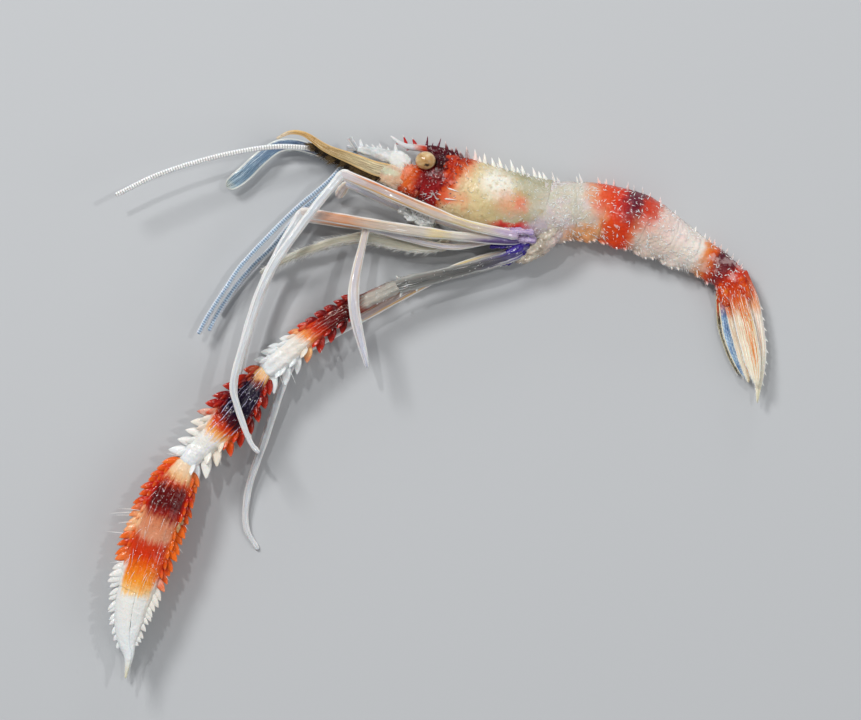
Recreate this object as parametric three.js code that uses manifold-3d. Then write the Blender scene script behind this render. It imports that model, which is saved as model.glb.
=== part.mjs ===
// Banded coral shrimp: a still, life-size model that lies on its right side.
// Millimetres. +X runs towards the tail, +Y towards the back, and +Z towards the left side, which
// faces up. Every chain below is laid out from one point under the middle of the animal. The last
// lines move the whole to its own origin, the middle of its footprint on the surface it lies on.

import * as THREE from 'three';
import { mergeVertices } from 'three/addons/utils/BufferGeometryUtils.js';
import Module from 'manifold-3d';

const wasm = await Module();
wasm.setup();

// A chain is where it starts and its links: [length, heading, rise], with the heading in degrees
// from +X in the XY plane and the rise in degrees up from that plane.
// A girth is [place, half width across the view, half thickness along Z]: the place is a distance
// along the trunk, and a share of the length on every other piece.

const jointGap = 0.3;           // clear space where one plate or link meets the next
const rootSink = 0.25;          // how deep the root of a spine sits in the shell
const bodyMiddle = 2.9;         // height of the plane that parts the left side from the right
const floorHeight = 0;

const trunk = {
  start: [-0.65, 18.45, 2.9],
  links: [[2.8, -19, 1], [3.2, -22, 0], [3.6, -14, -1], [3.4, -8, -3], [2.7, 0, -4], [2.5, -4, -1],
    [4.2, -16, 0], [2.7, -27, -6], [3.1, -30, -6], [2.9, -30, -5], [3.0, -40, -2]],
  girth: [[0, 2.4, 1.8], [0.6, 2.7, 2.15], [2.8, 3.2, 2.6], [6.0, 3.4, 2.95], [9.6, 3.3, 2.95],
    [13.0, 3.0, 2.75], [15.7, 2.85, 2.55], [22.4, 2.9, 2.5], [25.1, 2.45, 2.25], [28.2, 1.95, 1.85],
    [31.1, 1.65, 1.6], [34.1, 1.4, 1.4]],
};
const carapaceEnd = 12.7;
const somiteEnds = [15.5, 18.4, 22.6, 25.6, 28.4, 33.8];
const somiteFlare = 0.05;       // how much wider a somite is behind than its own middle
const flankSpine = { from: 0.4, to: 0.85, length: 0.22, width: 0.3, lean: 30 };
const pleuron = {
  angle: 50, from: 0.45, to: 0.45, count: 1, length: 0.5, thickness: 0.6, sides: 4, lean: 15,
};
const swimmerPairs = 5;
const firstSwimmer = {
  angle: 22, from: 0.35, to: 0.35, count: 1, length: 3.3, width: 1.3, thickness: 0.6, sides: 4, lean: -50,
};
const laterSwimmer = {
  angle: 28, from: 0.4, to: 0.4, count: 1, length: 0.85, width: 1.0, thickness: 0.5, sides: 4, lean: 40,
};

const eye = {
  centre: [-0.5, 19.9], offset: 1.9, radius: [1.03, 0.92, 0.95], stalkRadius: 0.62, stalkRoot: 0.45,
};

const tail = {
  telson: { start: [31.2, 8.0, 1.6], links: [[2.2, -66, 0], [2.8, -78, 0], [2.7, -82, 0], [4.9, -93, 0]] },
  left_outer: { start: [30.5, 7.2, 2.7], links: [[4.1, -75, 0], [3.6, -78, 0], [2.4, -80, 0]] },
  left_inner: { start: [29.9, 6.7, 2.05], links: [[4.2, -77, 0], [2.8, -76, 0], [2.2, -80, 0]] },
  right_inner: { start: [29.4, 6.3, 1.2], links: [[3.7, -82, 0], [2.1, -71, 0], [2.7, -68, 0]] },
  right_outer: { start: [29.1, 6.0, 0.5], links: [[2.5, -86, 0], [2.3, -73, 0], [3.0, -69, 0]] },
};
const telsonGirth = [[0, 0.8, 0.7], [0.2, 0.72, 0.7], [0.45, 0.67, 0.6], [0.65, 0.5, 0.5], [0.8, 0.4, 0.35],
  [1, 0.12, 0.25]];
const uropodGirths = {
  left_outer: [[0, 0.35, 0.26], [0.15, 0.6, 0.26], [0.7, 0.66, 0.25], [0.92, 0.4, 0.25], [1, 0.15, 0.25]],
  left_inner: [[0, 0.3, 0.25], [0.2, 0.46, 0.25], [0.8, 0.46, 0.25], [1, 0.15, 0.25]],
  right_inner: [[0, 0.3, 0.25], [0.2, 0.42, 0.25], [0.8, 0.42, 0.25], [1, 0.15, 0.25]],
  right_outer: [[0, 0.28, 0.25], [0.2, 0.32, 0.25], [0.8, 0.32, 0.25], [1, 0.15, 0.25]],
};

const head = {
  antenna_base_left: { start: [-0.9, 17.5, 4.0], links: [[2.3, 158, 0]] },
  antenna_base_right: { start: [-1.0, 17.6, 1.75], links: [[2.2, 157, 1]] },
  antennule_left: { start: [-2.4, 19.7, 3.55], links: [[1.6, 159, 2], [1.7, 164, 0], [1.7, 169, 0]] },
  antennule_right: { start: [-2.5, 19.7, 2.3], links: [[1.5, 156, 0], [1.8, 164, 0], [1.6, 171, 0]] },
  antennule_left_outer: { start: [-7.5, 21.3, 3.6], links: [[1.2, 123, 5]] },
  antennule_left_inner: { start: [-7.7, 21.1, 3.5], links: [[0.8, 172, -5]] },
  antennule_right_outer: {
    start: [-7.4, 20.9, 2.3],
    links: [[3.9, -127, -3], [3.9, -139, -5], [4.8, -129, -2], [3.0, -136, -1], [2.7, -130, 0],
      [3.6, -123, 0], [1.6, -116, 0]],
  },
  antennule_right_inner: {
    start: [-7.4, 21.0, 2.8],
    links: [[4.3, -132, 5], [3.6, -140, 0], [3.8, -136, -3], [4.9, -133, -3], [2.1, -124, -3],
      [3.9, -123, -5], [1.9, -118, -2]],
  },
  antennal_scale_left: {
    start: [-3.0, 18.7, 4.7],
    links: [[2.6, 171, -1], [2.7, 158, 0], [2.7, 158, 0], [2.8, 148, 0], [1.3, 175, -2], [1.5, -156, -4]],
    girth: [[0, 0.6, 0.25], [0.1, 0.85, 0.3], [0.19, 0.85, 0.3], [0.38, 0.7, 0.3], [0.58, 0.42, 0.27],
      [0.69, 0.33, 0.25], [0.79, 0.25, 0.25], [0.885, 0.25, 0.25], [1, 0.12, 0.2]],
  },
  antennal_scale_right: {
    start: [-3.1, 18.9, 1.2],
    links: [[2.5, 173, 0], [3.2, 164, 0], [3.4, 161, 2], [2.2, 168, 7], [1.5, -169, 4], [2.4, -143, 3],
      [1.8, -136, -1], [1.4, -142, 1], [0.8, -147, -1]],
    girth: [[0, 0.5, 0.25], [0.08, 0.8, 0.3], [0.3, 0.7, 0.28], [0.5, 0.5, 0.25], [0.6, 0.57, 0.25],
      [0.75, 0.65, 0.25], [0.9, 0.6, 0.25], [0.96, 0.35, 0.25], [1, 0.12, 0.2]],
  },
  antenna_left: {
    start: [-11.2, 21.1, 3.9],
    links: [[4.0, 177, 6], [4.2, -172, 7], [4.3, -166, 5], [4.4, -161, 3], [4.2, -154, -2]],
  },
  antenna_right: {
    start: [-6.3, 19.1, 1.9],
    links: [[3.6, -160, -6], [4.2, -139, -6], [4.9, -130, -3], [3.3, -132, -1], [2.8, -129, -1],
      [2.4, -123, -1]],
  },
  mouthparts_left: { start: [0.2, 13.6, 4.5], links: [[3.3, 153, 0]] },
  mouthparts_right: { start: [0.3, 13.5, 1.3], links: [[3.4, 154, 1]] },
};

const limbs = {
  maxilliped_left: {
    start: [1.7, 12.2, 3.4],
    links: [[1.4, -141, -11], [7.6, 172, 2], [3.2, -168, 4], [4.3, -160, 0], [3.2, -152, -2]],
  },
  maxilliped_right: {
    start: [1.7, 11.4, 1.8],
    links: [[1.1, -174, -3], [7.5, 173, 0], [3.3, -170, 0], [4.2, -162, -3], [2.9, -153, -4]],
  },
  leg1_left: {
    start: [4.7, 12.5, 3.9],
    links: [[5.1, 160, -5], [3.1, 163, 3], [5.9, 155, 8], [2.4, -128, -49]],
  },
  leg1_right: { start: [4.8, 12.7, 1.4], links: [[5.4, 154, 1], [5.5, 157, -1], [2.4, 176, -5]] },
  leg2_left: {
    start: [6.2, 11.9, 3.7],
    links: [[4.3, -172, 5], [8.6, 167, 4], [7.4, -100, 14], [6.9, -79, -1]],
  },
  leg2_right: {
    start: [6.3, 12.0, 1.2],
    links: [[4.3, 179, -1], [6.6, 170, -1], [3.7, 168, 0], [4.7, 172, 0]],
  },
  leg3_left: {
    start: [9.7, 11.3, 3.9],
    links: [[1.9, -151, 9], [11.8, -165, 3], [7.5, -153, 1], [8.2, -142, 0], [5.9, -127, 1],
      [6.2, -135, 0], [5.1, -115, -1], [5.3, -110, 0], [5.2, -107, 0], [3.2, -97, -1],
      [1.6, -83, 0], [2.3, -99, 0]],
  },
  leg3_right: {
    start: [9.6, 11.2, 1.5],
    links: [[1.8, -151, -10], [11.8, -166, 0], [7.6, -152, 0], [8.2, -142, 0], [5.9, -127, 0],
      [6.2, -135, 0], [5.2, -116, 0], [5.4, -110, 0], [5.2, -107, -1], [3.2, -96, -1],
      [1.6, -84, -1], [2.4, -98, 0]],
  },
  leg4_left: {
    start: [9.6, 12.1, 3.9],
    links: [[2.0, -176, 21], [7.7, 175, 6], [13.1, 171, 4],
      [3.6, -121, 4], [5.1, -116, 3], [5.0, -108, 1], [5.2, -102, 0], [2.3, -79, -4], [3.2, -69, -3]],
  },
  leg4_right: {
    start: [9.5, 12.0, 2.1],
    links: [[1.7, 179, 0], [7.7, 176, 1], [13.0, 172, 1],
      [3.5, -123, 4], [4.9, -116, 2], [5.0, -108, 2], [5.2, -101, 0], [2.3, -81, -1], [2.9, -72, 0]],
  },
  leg5_left: {
    start: [8.5, 12.4, 5.2],
    links: [[5.5, 167, 10], [13.0, 158, 7],
      [5.0, -129, 2], [7.6, -124, 1], [6.1, -110, -1], [5.3, -105, -1], [1.8, -78, -2], [4.2, -70, -3],
      [1.1, -51, -4]],
  },
  leg5_right: {
    start: [9.0, 11.0, 2.6],
    links: [[6.8, -164, 2], [17.6, -152, 1],
      [2.6, -120, -3], [6.7, -109, -9], [6.1, -108, -9], [3.6, -92, -8], [2.3, -62, -5]],
  },
};

const girths = {
  antennaBase: [[0, 1.35, 0.8], [0.3, 1.7, 0.95], [0.8, 1.35, 0.85], [1, 0.9, 0.6]],
  antennule: [[0, 0.45, 0.35], [0.15, 0.7, 0.5], [0.6, 0.55, 0.45], [1, 0.3, 0.3]],
  stump: [[0, 0.25, 0.25], [1, 0.25, 0.25]],
  flagellum: [[0, 0.26, 0.26], [1, 0.25, 0.25]],
  mouthpart: [[0, 0.5, 0.35], [0.3, 0.8, 0.5], [0.8, 0.7, 0.4], [1, 0.3, 0.25]],
  maxillipedArm: [[0, 0.3, 0.3], [0.15, 0.45, 0.35], [0.5, 0.7, 0.4], [0.95, 0.6, 0.35], [1, 0.45, 0.3]],
  maxillipedTip: [[0, 0.45, 0.3], [0.6, 0.4, 0.3], [0.9, 0.32, 0.28], [1, 0.25, 0.25]],
  slenderArm: [[0, 0.27, 0.25], [0.3, 0.3, 0.28], [1, 0.35, 0.3]],
  slenderHand: [[0, 0.32, 0.3], [0.45, 0.5, 0.38], [0.9, 0.32, 0.28], [1, 0.25, 0.25]],
  longArm: [[0, 0.35, 0.35], [0.1, 0.5, 0.42], [0.38, 0.45, 0.4], [0.42, 0.55, 0.45], [0.97, 0.55, 0.42],
    [1, 0.4, 0.35]],
  longShank: [[0, 0.42, 0.35], [0.5, 0.38, 0.35], [0.92, 0.28, 0.28], [1, 0.25, 0.25]],
  clawIschium: [[0, 0.45, 0.42], [0.08, 0.6, 0.5], [0.6, 0.6, 0.5], [0.92, 0.75, 0.6], [1, 0.55, 0.5]],
  clawMerus: [[0, 0.5, 0.45], [0.06, 0.75, 0.6], [0.35, 0.85, 0.7], [0.75, 1.05, 0.85], [0.9, 1.2, 0.95],
    [1, 0.7, 0.6]],
  clawCarpus: [[0, 0.65, 0.55], [0.12, 1.0, 0.75], [0.27, 1.55, 1.0], [0.45, 1.9, 1.15], [0.6, 1.8, 1.1],
    [0.74, 1.2, 0.9], [0.92, 1.0, 0.8], [1, 0.7, 0.6]],
  clawHand: [[0, 0.8, 0.6], [0.04, 1.2, 0.8], [0.12, 1.85, 1.1], [0.27, 2.25, 1.25], [0.42, 2.2, 1.2],
    [0.58, 1.75, 1.0], [0.72, 1.2, 0.8], [0.82, 0.85, 0.6], [0.9, 0.35, 0.38], [1, 0.12, 0.25]],
};

// The seam between the two fingers of a big claw, as shares of the hand's length.
const fingerSeam = { root: 0.6, tip: 1.02, offset: -0.2, halfGap: 0.1 };

const shell = (color, roughness = 0.35) => (
  new THREE.MeshStandardMaterial({ color, roughness, metalness: 0 }));
const finishes = {
  darkRed: shell('#8d2233'),
  cream: shell('#e8d9bd'),
  white: shell('#f2efea'),
  red: shell('#d8452a'),
  orange: shell('#e8853f'),
  glassy: shell('#c9c8c4', 0.25),
  violet: shell('#6d5aa8'),
  golden: shell('#d9b27c'),
  eyeTan: shell('#c9a06a', 0.15),
};

// Angles round a trunk section, for a trunk that is drawn from head to tail.
const belly = 0;
const leftFlank = 90;
const back = 180;

const degrees = Math.PI / 180;
const up = new THREE.Vector3(0, 0, 1);
const yAxis = new THREE.Vector3(0, 1, 0);

// The points where the links of a chain meet, from its start to its tip.
function jointsOf({ start, links }) {
  const joints = [new THREE.Vector3(...start)];
  for (const [length, heading, rise] of links) {
    const step = new THREE.Vector3(length, 0, 0);
    step.applyAxisAngle(yAxis, -rise * degrees);
    step.applyAxisAngle(up, heading * degrees);
    joints.push(joints.at(-1).clone().add(step));
  }
  return joints;
}

// A stretch of a smooth curve through some joints. The trims shorten it at its two ends, and a
// trim below zero makes it longer, straight on.
function stretchThrough(joints, startTrim = jointGap / 2, endTrim = jointGap / 2) {
  const points = joints.map((joint) => joint.clone());
  const lengthen = (end, next, extra) => end.add(end.clone().sub(next).setLength(extra));
  if (startTrim < 0) lengthen(points[0], points[1], -startTrim);
  if (endTrim < 0) lengthen(points.at(-1), points.at(-2), -endTrim);
  const curve = new THREE.CatmullRomCurve3(points, false, 'centripetal');
  const length = curve.getLength();
  return { curve, from: Math.max(startTrim, 0) / length, to: 1 - Math.max(endTrim, 0) / length };
}

// The curve's point and three directions at a share of a stretch: along it, across the view, and
// through the thickness.
function frameAt({ curve, from, to }, share) {
  const place = THREE.MathUtils.lerp(from, to, share);
  const along = curve.getTangentAt(place);
  const side = along.clone().cross(up).normalize();
  return { centre: curve.getPointAt(place), along, side, depth: side.clone().cross(along) };
}

function girthAt(girth, place) {
  const next = Math.max(1, girth.findIndex(([station]) => station >= place));
  const [low, high] = [girth[next - 1], girth[next]];
  const share = THREE.MathUtils.clamp((place - low[0]) / (high[0] - low[0]), 0, 1);
  return [THREE.MathUtils.lerp(low[1], high[1], share), THREE.MathUtils.lerp(low[2], high[2], share)];
}

// A closed solid with its shared vertices merged.
function solidOf(geometry) {
  geometry.deleteAttribute('normal');
  geometry.deleteAttribute('uv');
  const merged = mergeVertices(geometry, 1e-5);
  return new wasm.Manifold(new wasm.Mesh({
    numProp: 3,
    vertProperties: new Float32Array(merged.attributes.position.array),
    triVerts: new Uint32Array(merged.index.array),
  }));
}

// The places of the rings of a tube: its girth's stations and evenly spaced ones between them.
function ringPlaces(girth, bends) {
  const even = Array.from({ length: bends + 1 }, (_, i) => i / bends);
  const stations = girth.map(([station]) => station);
  const clear = even.filter((place) => stations.every((station) => Math.abs(station - place) > 0.4 / bends));
  return [...stations, ...clear].sort((a, b) => a - b);
}

// A tube along a stretch: a cylinder whose rings are moved onto the curve and given its girth.
function tube(stretch, girth, { sides = 6, bends = 1, swell = 0 } = {}) {
  const places = ringPlaces(girth, bends);
  const cylinder = new THREE.CylinderGeometry(1, 1, 1, sides, places.length - 1);
  const vertices = cylinder.attributes.position;
  for (let i = 0; i < vertices.count; i += 1) {
    const place = places[Math.round((vertices.getY(i) + 0.5) * (places.length - 1))];
    const { centre, side, depth } = frameAt(stretch, place);
    const [halfWidth, halfThickness] = girthAt(girth, place);
    centre.addScaledVector(side, vertices.getX(i) * (halfWidth + swell));
    centre.addScaledVector(depth, vertices.getZ(i) * (halfThickness + swell));
    vertices.setXYZ(i, centre.x, centre.y, centre.z);
  }
  return solidOf(cylinder);
}

// A thin cone from root along direction. Its width lies along across, as a leaf's does.
function spine(root, direction, across, { length, width, thickness = width, sides = 3 }) {
  const cone = new THREE.ConeGeometry(1, 1, sides);
  cone.translate(0, 0.5, 0);
  cone.scale(width / 2, length + rootSink, thickness / 2);
  const third = across.clone().cross(direction).normalize();
  const first = direction.clone().cross(third);
  const turn = new THREE.Matrix4().makeBasis(first, direction, third);
  turn.setPosition(root.clone().addScaledVector(direction, -rootSink));
  cone.applyMatrix4(turn);
  return solidOf(cone);
}

// A row of spines on a tube, from one share of its length to another, at one angle round it.
// The lean tips each spine towards the tube's end.
function spineRow(stretch, girth, row) {
  const { from, to, count, angle, lean = 0, shrink = 0 } = row;
  return Array.from({ length: count }, (_, i) => {
    const share = count > 1 ? i / (count - 1) : 0;
    const place = THREE.MathUtils.lerp(from, to, share);
    const { centre, along, side, depth } = frameAt(stretch, place);
    const [halfWidth, halfThickness] = girthAt(girth, place);
    const [cosine, sine] = [Math.cos(angle * degrees), Math.sin(angle * degrees)];
    centre.addScaledVector(side, halfWidth * cosine).addScaledVector(depth, halfThickness * sine);
    const direction = side.multiplyScalar(cosine / halfWidth).addScaledVector(depth, sine / halfThickness);
    direction.setLength(Math.cos(lean * degrees)).addScaledVector(along, Math.sin(lean * degrees));
    const length = row.length * (1 - shrink * share);
    return spine(centre, direction.normalize(), along, { ...row, length });
  });
}

const joined = (solid, additions) => additions.reduce((whole, addition) => whole.add(addition), solid);

const blockAt = (size, centre) => solidOf(new THREE.BoxGeometry(...size).translate(...centre));
const underFloor = blockAt([200, 200, 10], [0, 0, floorHeight - 5]);
const restingOnFloor = (solid) => solid.subtract(underFloor);

// A named mesh, turned about the point that it is joined at.
function meshOf(name, solid, finish, joint) {
  const { vertProperties, triVerts } = solid.getMesh();
  const geometry = new THREE.BufferGeometry();
  geometry.setAttribute('position', new THREE.BufferAttribute(new Float32Array(vertProperties), 3));
  geometry.setIndex(new THREE.BufferAttribute(new Uint32Array(triVerts), 1));
  geometry.translate(-joint.x, -joint.y, -joint.z);
  geometry.computeVertexNormals();
  const mesh = new THREE.Mesh(geometry, finish);
  mesh.name = name;
  mesh.position.copy(joint);
  return mesh;
}

const model = new THREE.Group();

// The trunk's curve, and the part of it from one distance behind the head to another.
const trunkLine = new THREE.CatmullRomCurve3(jointsOf(trunk), false, 'centripetal');
const trunkLength = trunkLine.getLength();
const trunkStretch = (from, to) => ({ curve: trunkLine, from: from / trunkLength, to: to / trunkLength });

// The trunk's girth between two distances, as shares of that part, scaled from front to rear.
function trunkGirth(from, to, frontScale = 1, rearScale = 1, rings = 3) {
  return Array.from({ length: rings + 1 }, (_, i) => {
    const share = i / rings;
    const scale = THREE.MathUtils.lerp(frontScale, rearScale, share);
    const [halfDepth, halfWidth] = girthAt(trunk.girth, THREE.MathUtils.lerp(from, to, share));
    return [share, halfDepth * scale, halfWidth * scale];
  });
}

const eyeCentre = (sign) => new THREE.Vector3(...eye.centre, bodyMiddle + sign * eye.offset);

// An eye and the stalk that holds it, grown on every side by a clearance.
function eyeSolid(sign, clearance = 0) {
  const [x, y, z] = eye.radius.map((radius) => radius + clearance);
  const ball = new THREE.SphereGeometry(1, 12, 7).scale(x, y, z).translate(...eyeCentre(sign));
  const stalkRadius = eye.stalkRadius + clearance;
  const stalkLength = eye.offset - eye.stalkRoot + clearance;
  const stalk = new THREE.CylinderGeometry(stalkRadius, stalkRadius, stalkLength, 8);
  stalk.rotateX(Math.PI / 2);
  stalk.translate(0, 0, -sign * stalkLength / 2).translate(...eyeCentre(sign));
  return solidOf(ball).add(solidOf(stalk));
}

const clearOfEyes = (solid) => solid.subtract(eyeSolid(1, jointGap)).subtract(eyeSolid(-1, jointGap));

// The carapace narrows quickly at its front edge, ahead of its first fifth.
const carapaceBody = trunkGirth(0.2 * carapaceEnd, carapaceEnd, 1, 1, 6);
const carapaceGirth = [
  [0, 2.4, 1.8],
  [0.045, 2.7, 2.15],
  ...carapaceBody.map(([share, ...halves]) => [0.2 + 0.8 * share, ...halves]),
];

function carapaceSolid() {
  const stretch = trunkStretch(0, carapaceEnd);
  const girth = carapaceGirth;
  const shellTube = tube(stretch, girth, { sides: 16 });
  const rows = [
    { angle: back, from: 0.05, to: 0.97, count: 12, length: 0.85, width: 0.36, lean: -12, shrink: 0.25 },
    { angle: back + 24, from: 0.1, to: 0.93, count: 7, length: 0.5, width: 0.32, lean: -25, shrink: 0.3 },
    { angle: back - 24, from: 0.1, to: 0.93, count: 7, length: 0.5, width: 0.32, lean: -25, shrink: 0.3 },
    { angle: leftFlank + 38, from: 0.15, to: 0.85, count: 5, length: 0.4, width: 0.3, lean: -35 },
    { angle: -leftFlank - 38, from: 0.15, to: 0.85, count: 5, length: 0.4, width: 0.3, lean: -35 },
    { angle: leftFlank + 8, from: 0.16, to: 0.5, count: 4, length: 0.4, width: 0.3, lean: -45 },
    { angle: leftFlank - 28, from: 0.12, to: 0.5, count: 4, length: 0.4, width: 0.3, lean: -45 },
    { angle: -leftFlank + 28, from: 0.12, to: 0.5, count: 4, length: 0.4, width: 0.3, lean: -45 },
  ];
  const spines = rows.flatMap((row) => spineRow(stretch, girth, row));
  return clearOfEyes(joined(shellTube, spines));
}

// The rostrum is a toothed blade in the body's middle plane.
function rostrumSolid() {
  const outline = new THREE.Shape();
  outline.moveTo(-0.75, 20.95);
  outline.quadraticCurveTo(-2.0, 21.2, -2.9, 21.5);
  outline.lineTo(-4.15, 22.2);
  const teeth = [[-3.0, 22.45], [-1.85, 22.2]];
  for (const [x, y] of teeth) {
    outline.lineTo(x - 0.1, y - 0.65);
    outline.lineTo(x, y);
    outline.lineTo(x + 0.35, y - 0.75);
  }
  outline.lineTo(-0.75, 21.35);
  const thickness = 0.5;
  const options = { depth: thickness, bevelEnabled: false, curveSegments: 3 };
  const blade = new THREE.ExtrudeGeometry(outline, options);
  return solidOf(blade.translate(0, 0, bodyMiddle - thickness / 2));
}

// A somite: a ring of shell that flares behind, its spines, its two pleura and its swimming legs.
function somiteSolid(from, to, number) {
  const stretch = trunkStretch(from + jointGap / 2, to - jointGap / 2);
  const girth = trunkGirth(from, to, 1 - somiteFlare, 1 + somiteFlare);
  const length = to - from;
  const rows = [
    { angle: back, from: 0.35, to: 0.9, count: 3, length: 0.38, width: 0.3, lean: -10 },
    ...[leftFlank + 45, -leftFlank - 45].map((angle) => ({ ...flankSpine, angle, count: 2 })),
    ...[leftFlank, -leftFlank].map((angle) => ({ ...flankSpine, angle, count: 1 })),
    ...[pleuron.angle, -pleuron.angle].map((angle) => ({ ...pleuron, angle, width: length / 2 })),
  ];
  const swimmer = number === 1 ? firstSwimmer : laterSwimmer;
  const swimmers = number > swimmerPairs ? [] : [swimmer, { ...swimmer, angle: -swimmer.angle }];
  const spines = [...rows, ...swimmers].flatMap((row) => spineRow(stretch, girth, row));
  return joined(tube(stretch, girth, { sides: 12 }), spines);
}

const headEnd = jointsOf(trunk)[0];
const trunkParts = new THREE.Group();
const carapace = carapaceSolid();
trunkParts.add(meshOf('carapace', restingOnFloor(carapace), finishes.darkRed, headEnd));
trunkParts.add(meshOf('rostrum', rostrumSolid(), finishes.red, new THREE.Vector3(-0.75, 21.1, bodyMiddle)));

const { cream, red, white, orange } = finishes;
const somiteFinishes = [cream, cream, red, red, white, orange];
somiteEnds.forEach((end, i) => {
  const from = i === 0 ? carapaceEnd + jointGap / 2 : somiteEnds[i - 1];
  const solid = restingOnFloor(somiteSolid(from, end, i + 1));
  const joint = trunkLine.getPointAt(from / trunkLength);
  trunkParts.add(meshOf(`abdomen_${i + 1}`, solid, somiteFinishes[i], joint));
});

// The tail fan: the pointed telson, and two flat uropods on each side of it, folded together.
function bladeWithSpines(chain, girth, rows, options) {
  const stretch = stretchThrough(jointsOf(chain));
  return joined(tube(stretch, girth, options), rows.flatMap((row) => spineRow(stretch, girth, row)));
}

const marginSpines = { angle: 180, from: 0.25, to: 0.8, count: 7, length: 0.25, width: 0.3, lean: 50 };
const { telson, ...uropods } = tail;
const telsonSolid = bladeWithSpines(telson, telsonGirth, [marginSpines], { sides: 8, bends: 4 });
trunkParts.add(meshOf('telson', telsonSolid, white, jointsOf(telson)[0]));
for (const [name, chain] of Object.entries(uropods)) {
  const solid = bladeWithSpines(chain, uropodGirths[name], [], { sides: 6, bends: 4 });
  trunkParts.add(meshOf(`uropod_${name}`, restingOnFloor(solid), orange, jointsOf(chain)[0]));
}
model.add(trunkParts);

// What grows from the head and breast is cut clear of the carapace by the same gap as a joint.
const roomStretch = stretchThrough(jointsOf(trunk), -jointGap, 0);
roomStretch.to = (carapaceEnd + 2 * jointGap) / roomStretch.curve.getLength();
const carapaceRoom = tube(roomStretch, carapaceGirth, { sides: 16, swell: jointGap });
const clearOfCarapace = (solid) => solid.subtract(carapaceRoom);

const headParts = new THREE.Group();
const peduncleSpines = [
  { angle: 0, from: 0.2, to: 0.85, count: 4, length: 0.5, width: 0.35, lean: -10 },
  { angle: 60, from: 0.3, to: 0.75, count: 2, length: 0.3, width: 0.3, lean: 20 },
];
for (const [name, chain] of Object.entries(head)) {
  const piece = name.replace(/_(left|right)/, '').replace(/_(outer|inner)/, '_flagellum');
  const broken = name.startsWith('antennule_left_');
  const kinds = {
    antenna_base: [girths.antennaBase, { sides: 10 }, red, []],
    antennule: [girths.antennule, { sides: 8, bends: 3 }, white, peduncleSpines],
    antennule_flagellum: [broken ? girths.stump : girths.flagellum, { bends: broken ? 1 : 7 }, white, []],
    antennal_scale: [chain.girth, { sides: 8, bends: 8 }, finishes.golden, []],
    antenna: [girths.flagellum, { bends: 6 }, white, []],
    mouthparts: [girths.mouthpart, { sides: 8 }, finishes.glassy, []],
  };
  const [girth, options, finish, rows] = kinds[piece];
  const solid = clearOfEyes(clearOfCarapace(bladeWithSpines(chain, girth, rows, options)));
  headParts.add(meshOf(name, restingOnFloor(solid), finish, jointsOf(chain)[0]));
}
for (const [name, sign] of [['eye_left', 1], ['eye_right', -1]]) {
  headParts.add(meshOf(name, restingOnFloor(eyeSolid(sign)), finishes.eyeTan, eyeCentre(sign)));
}
model.add(headParts);

// The legs. Each piece of a leg runs between two joints of its chain.
const leaves = (angle, count, length, lean = 45, from = 0.1, to = 0.93) => (
  { angle, from, to, count, length, width: 0.62, thickness: 0.4, sides: 4, lean });
const legPieces = {
  maxilliped: [
    { piece: 'arm', joints: [0, 2], girth: girths.maxillipedArm, finish: finishes.glassy },
    { piece: 'tip', joints: [2, 5], girth: girths.maxillipedTip, finish: finishes.glassy, bends: 4 },
  ],
  leg1: [
    { piece: 'arm', joints: [0, -2], girth: girths.slenderArm, finish: white, endTrim: -0.1 },
    { piece: 'hand', joints: [-2, -1], girth: girths.slenderHand, finish: white, startTrim: 0.55 },
  ],
  leg2: [
    { piece: 'arm', joints: [0, -3], girth: girths.slenderArm, finish: white, endTrim: -0.2 },
    { piece: 'hand', joints: [-3, -1], girth: girths.slenderHand, finish: white, startTrim: 0.65 },
  ],
  leg4: [
    { piece: 'arm', joints: [0, 3], girth: girths.longArm, finish: cream, endTrim: -0.2 },
    { piece: 'shank', joints: [3, -1], girth: girths.longShank, finish: white, startTrim: 0.8, bends: 6 },
  ],
  leg5: [
    { piece: 'arm', joints: [0, 2], girth: girths.longArm, finish: cream, endTrim: -0.2 },
    { piece: 'shank', joints: [2, -1], girth: girths.longShank, finish: white, startTrim: 0.8, bends: 6 },
  ],
  leg3: [
    { piece: 'ischium', joints: [0, 2], girth: girths.clawIschium, finish: finishes.glassy, sides: 8,
      rows: [{ ...leaves(180, 1, 0.4), from: 0.95, to: 0.95 }] },
    { piece: 'merus', joints: [2, 4], girth: girths.clawMerus, finish: red, sides: 8,
      rows: [leaves(0, 8, 0.65, 40, 0.2), leaves(180, 8, 0.85, 40, 0.2)] },
    { piece: 'carpus', joints: [4, 6], girth: girths.clawCarpus, finish: finishes.darkRed, sides: 8,
      rows: [leaves(0, 9, 0.95, 30, 0.1, 0.9), leaves(180, 9, 1.05, 45, 0.1, 0.86)] },
    { piece: 'palm', joints: [6, -1], girth: girths.clawHand, finish: white, sides: 8, bends: 6,
      cut: (hand, room) => hand.subtract(room(fingerSeam.halfGap)),
      rows: [leaves(0, 7, 0.85, 42, 0.08, fingerSeam.root - 0.08), leaves(180, 10, 0.9, 45, 0.1, 0.82)] },
    { piece: 'finger', joints: [6, -1], girth: girths.clawHand, finish: white, sides: 8, bends: 6,
      cut: (hand, room) => hand.intersect(room(-fingerSeam.halfGap)),
      rows: [leaves(0, 4, 0.7, 48, fingerSeam.root + 0.04, 0.84)] },
  ],
};

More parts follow.
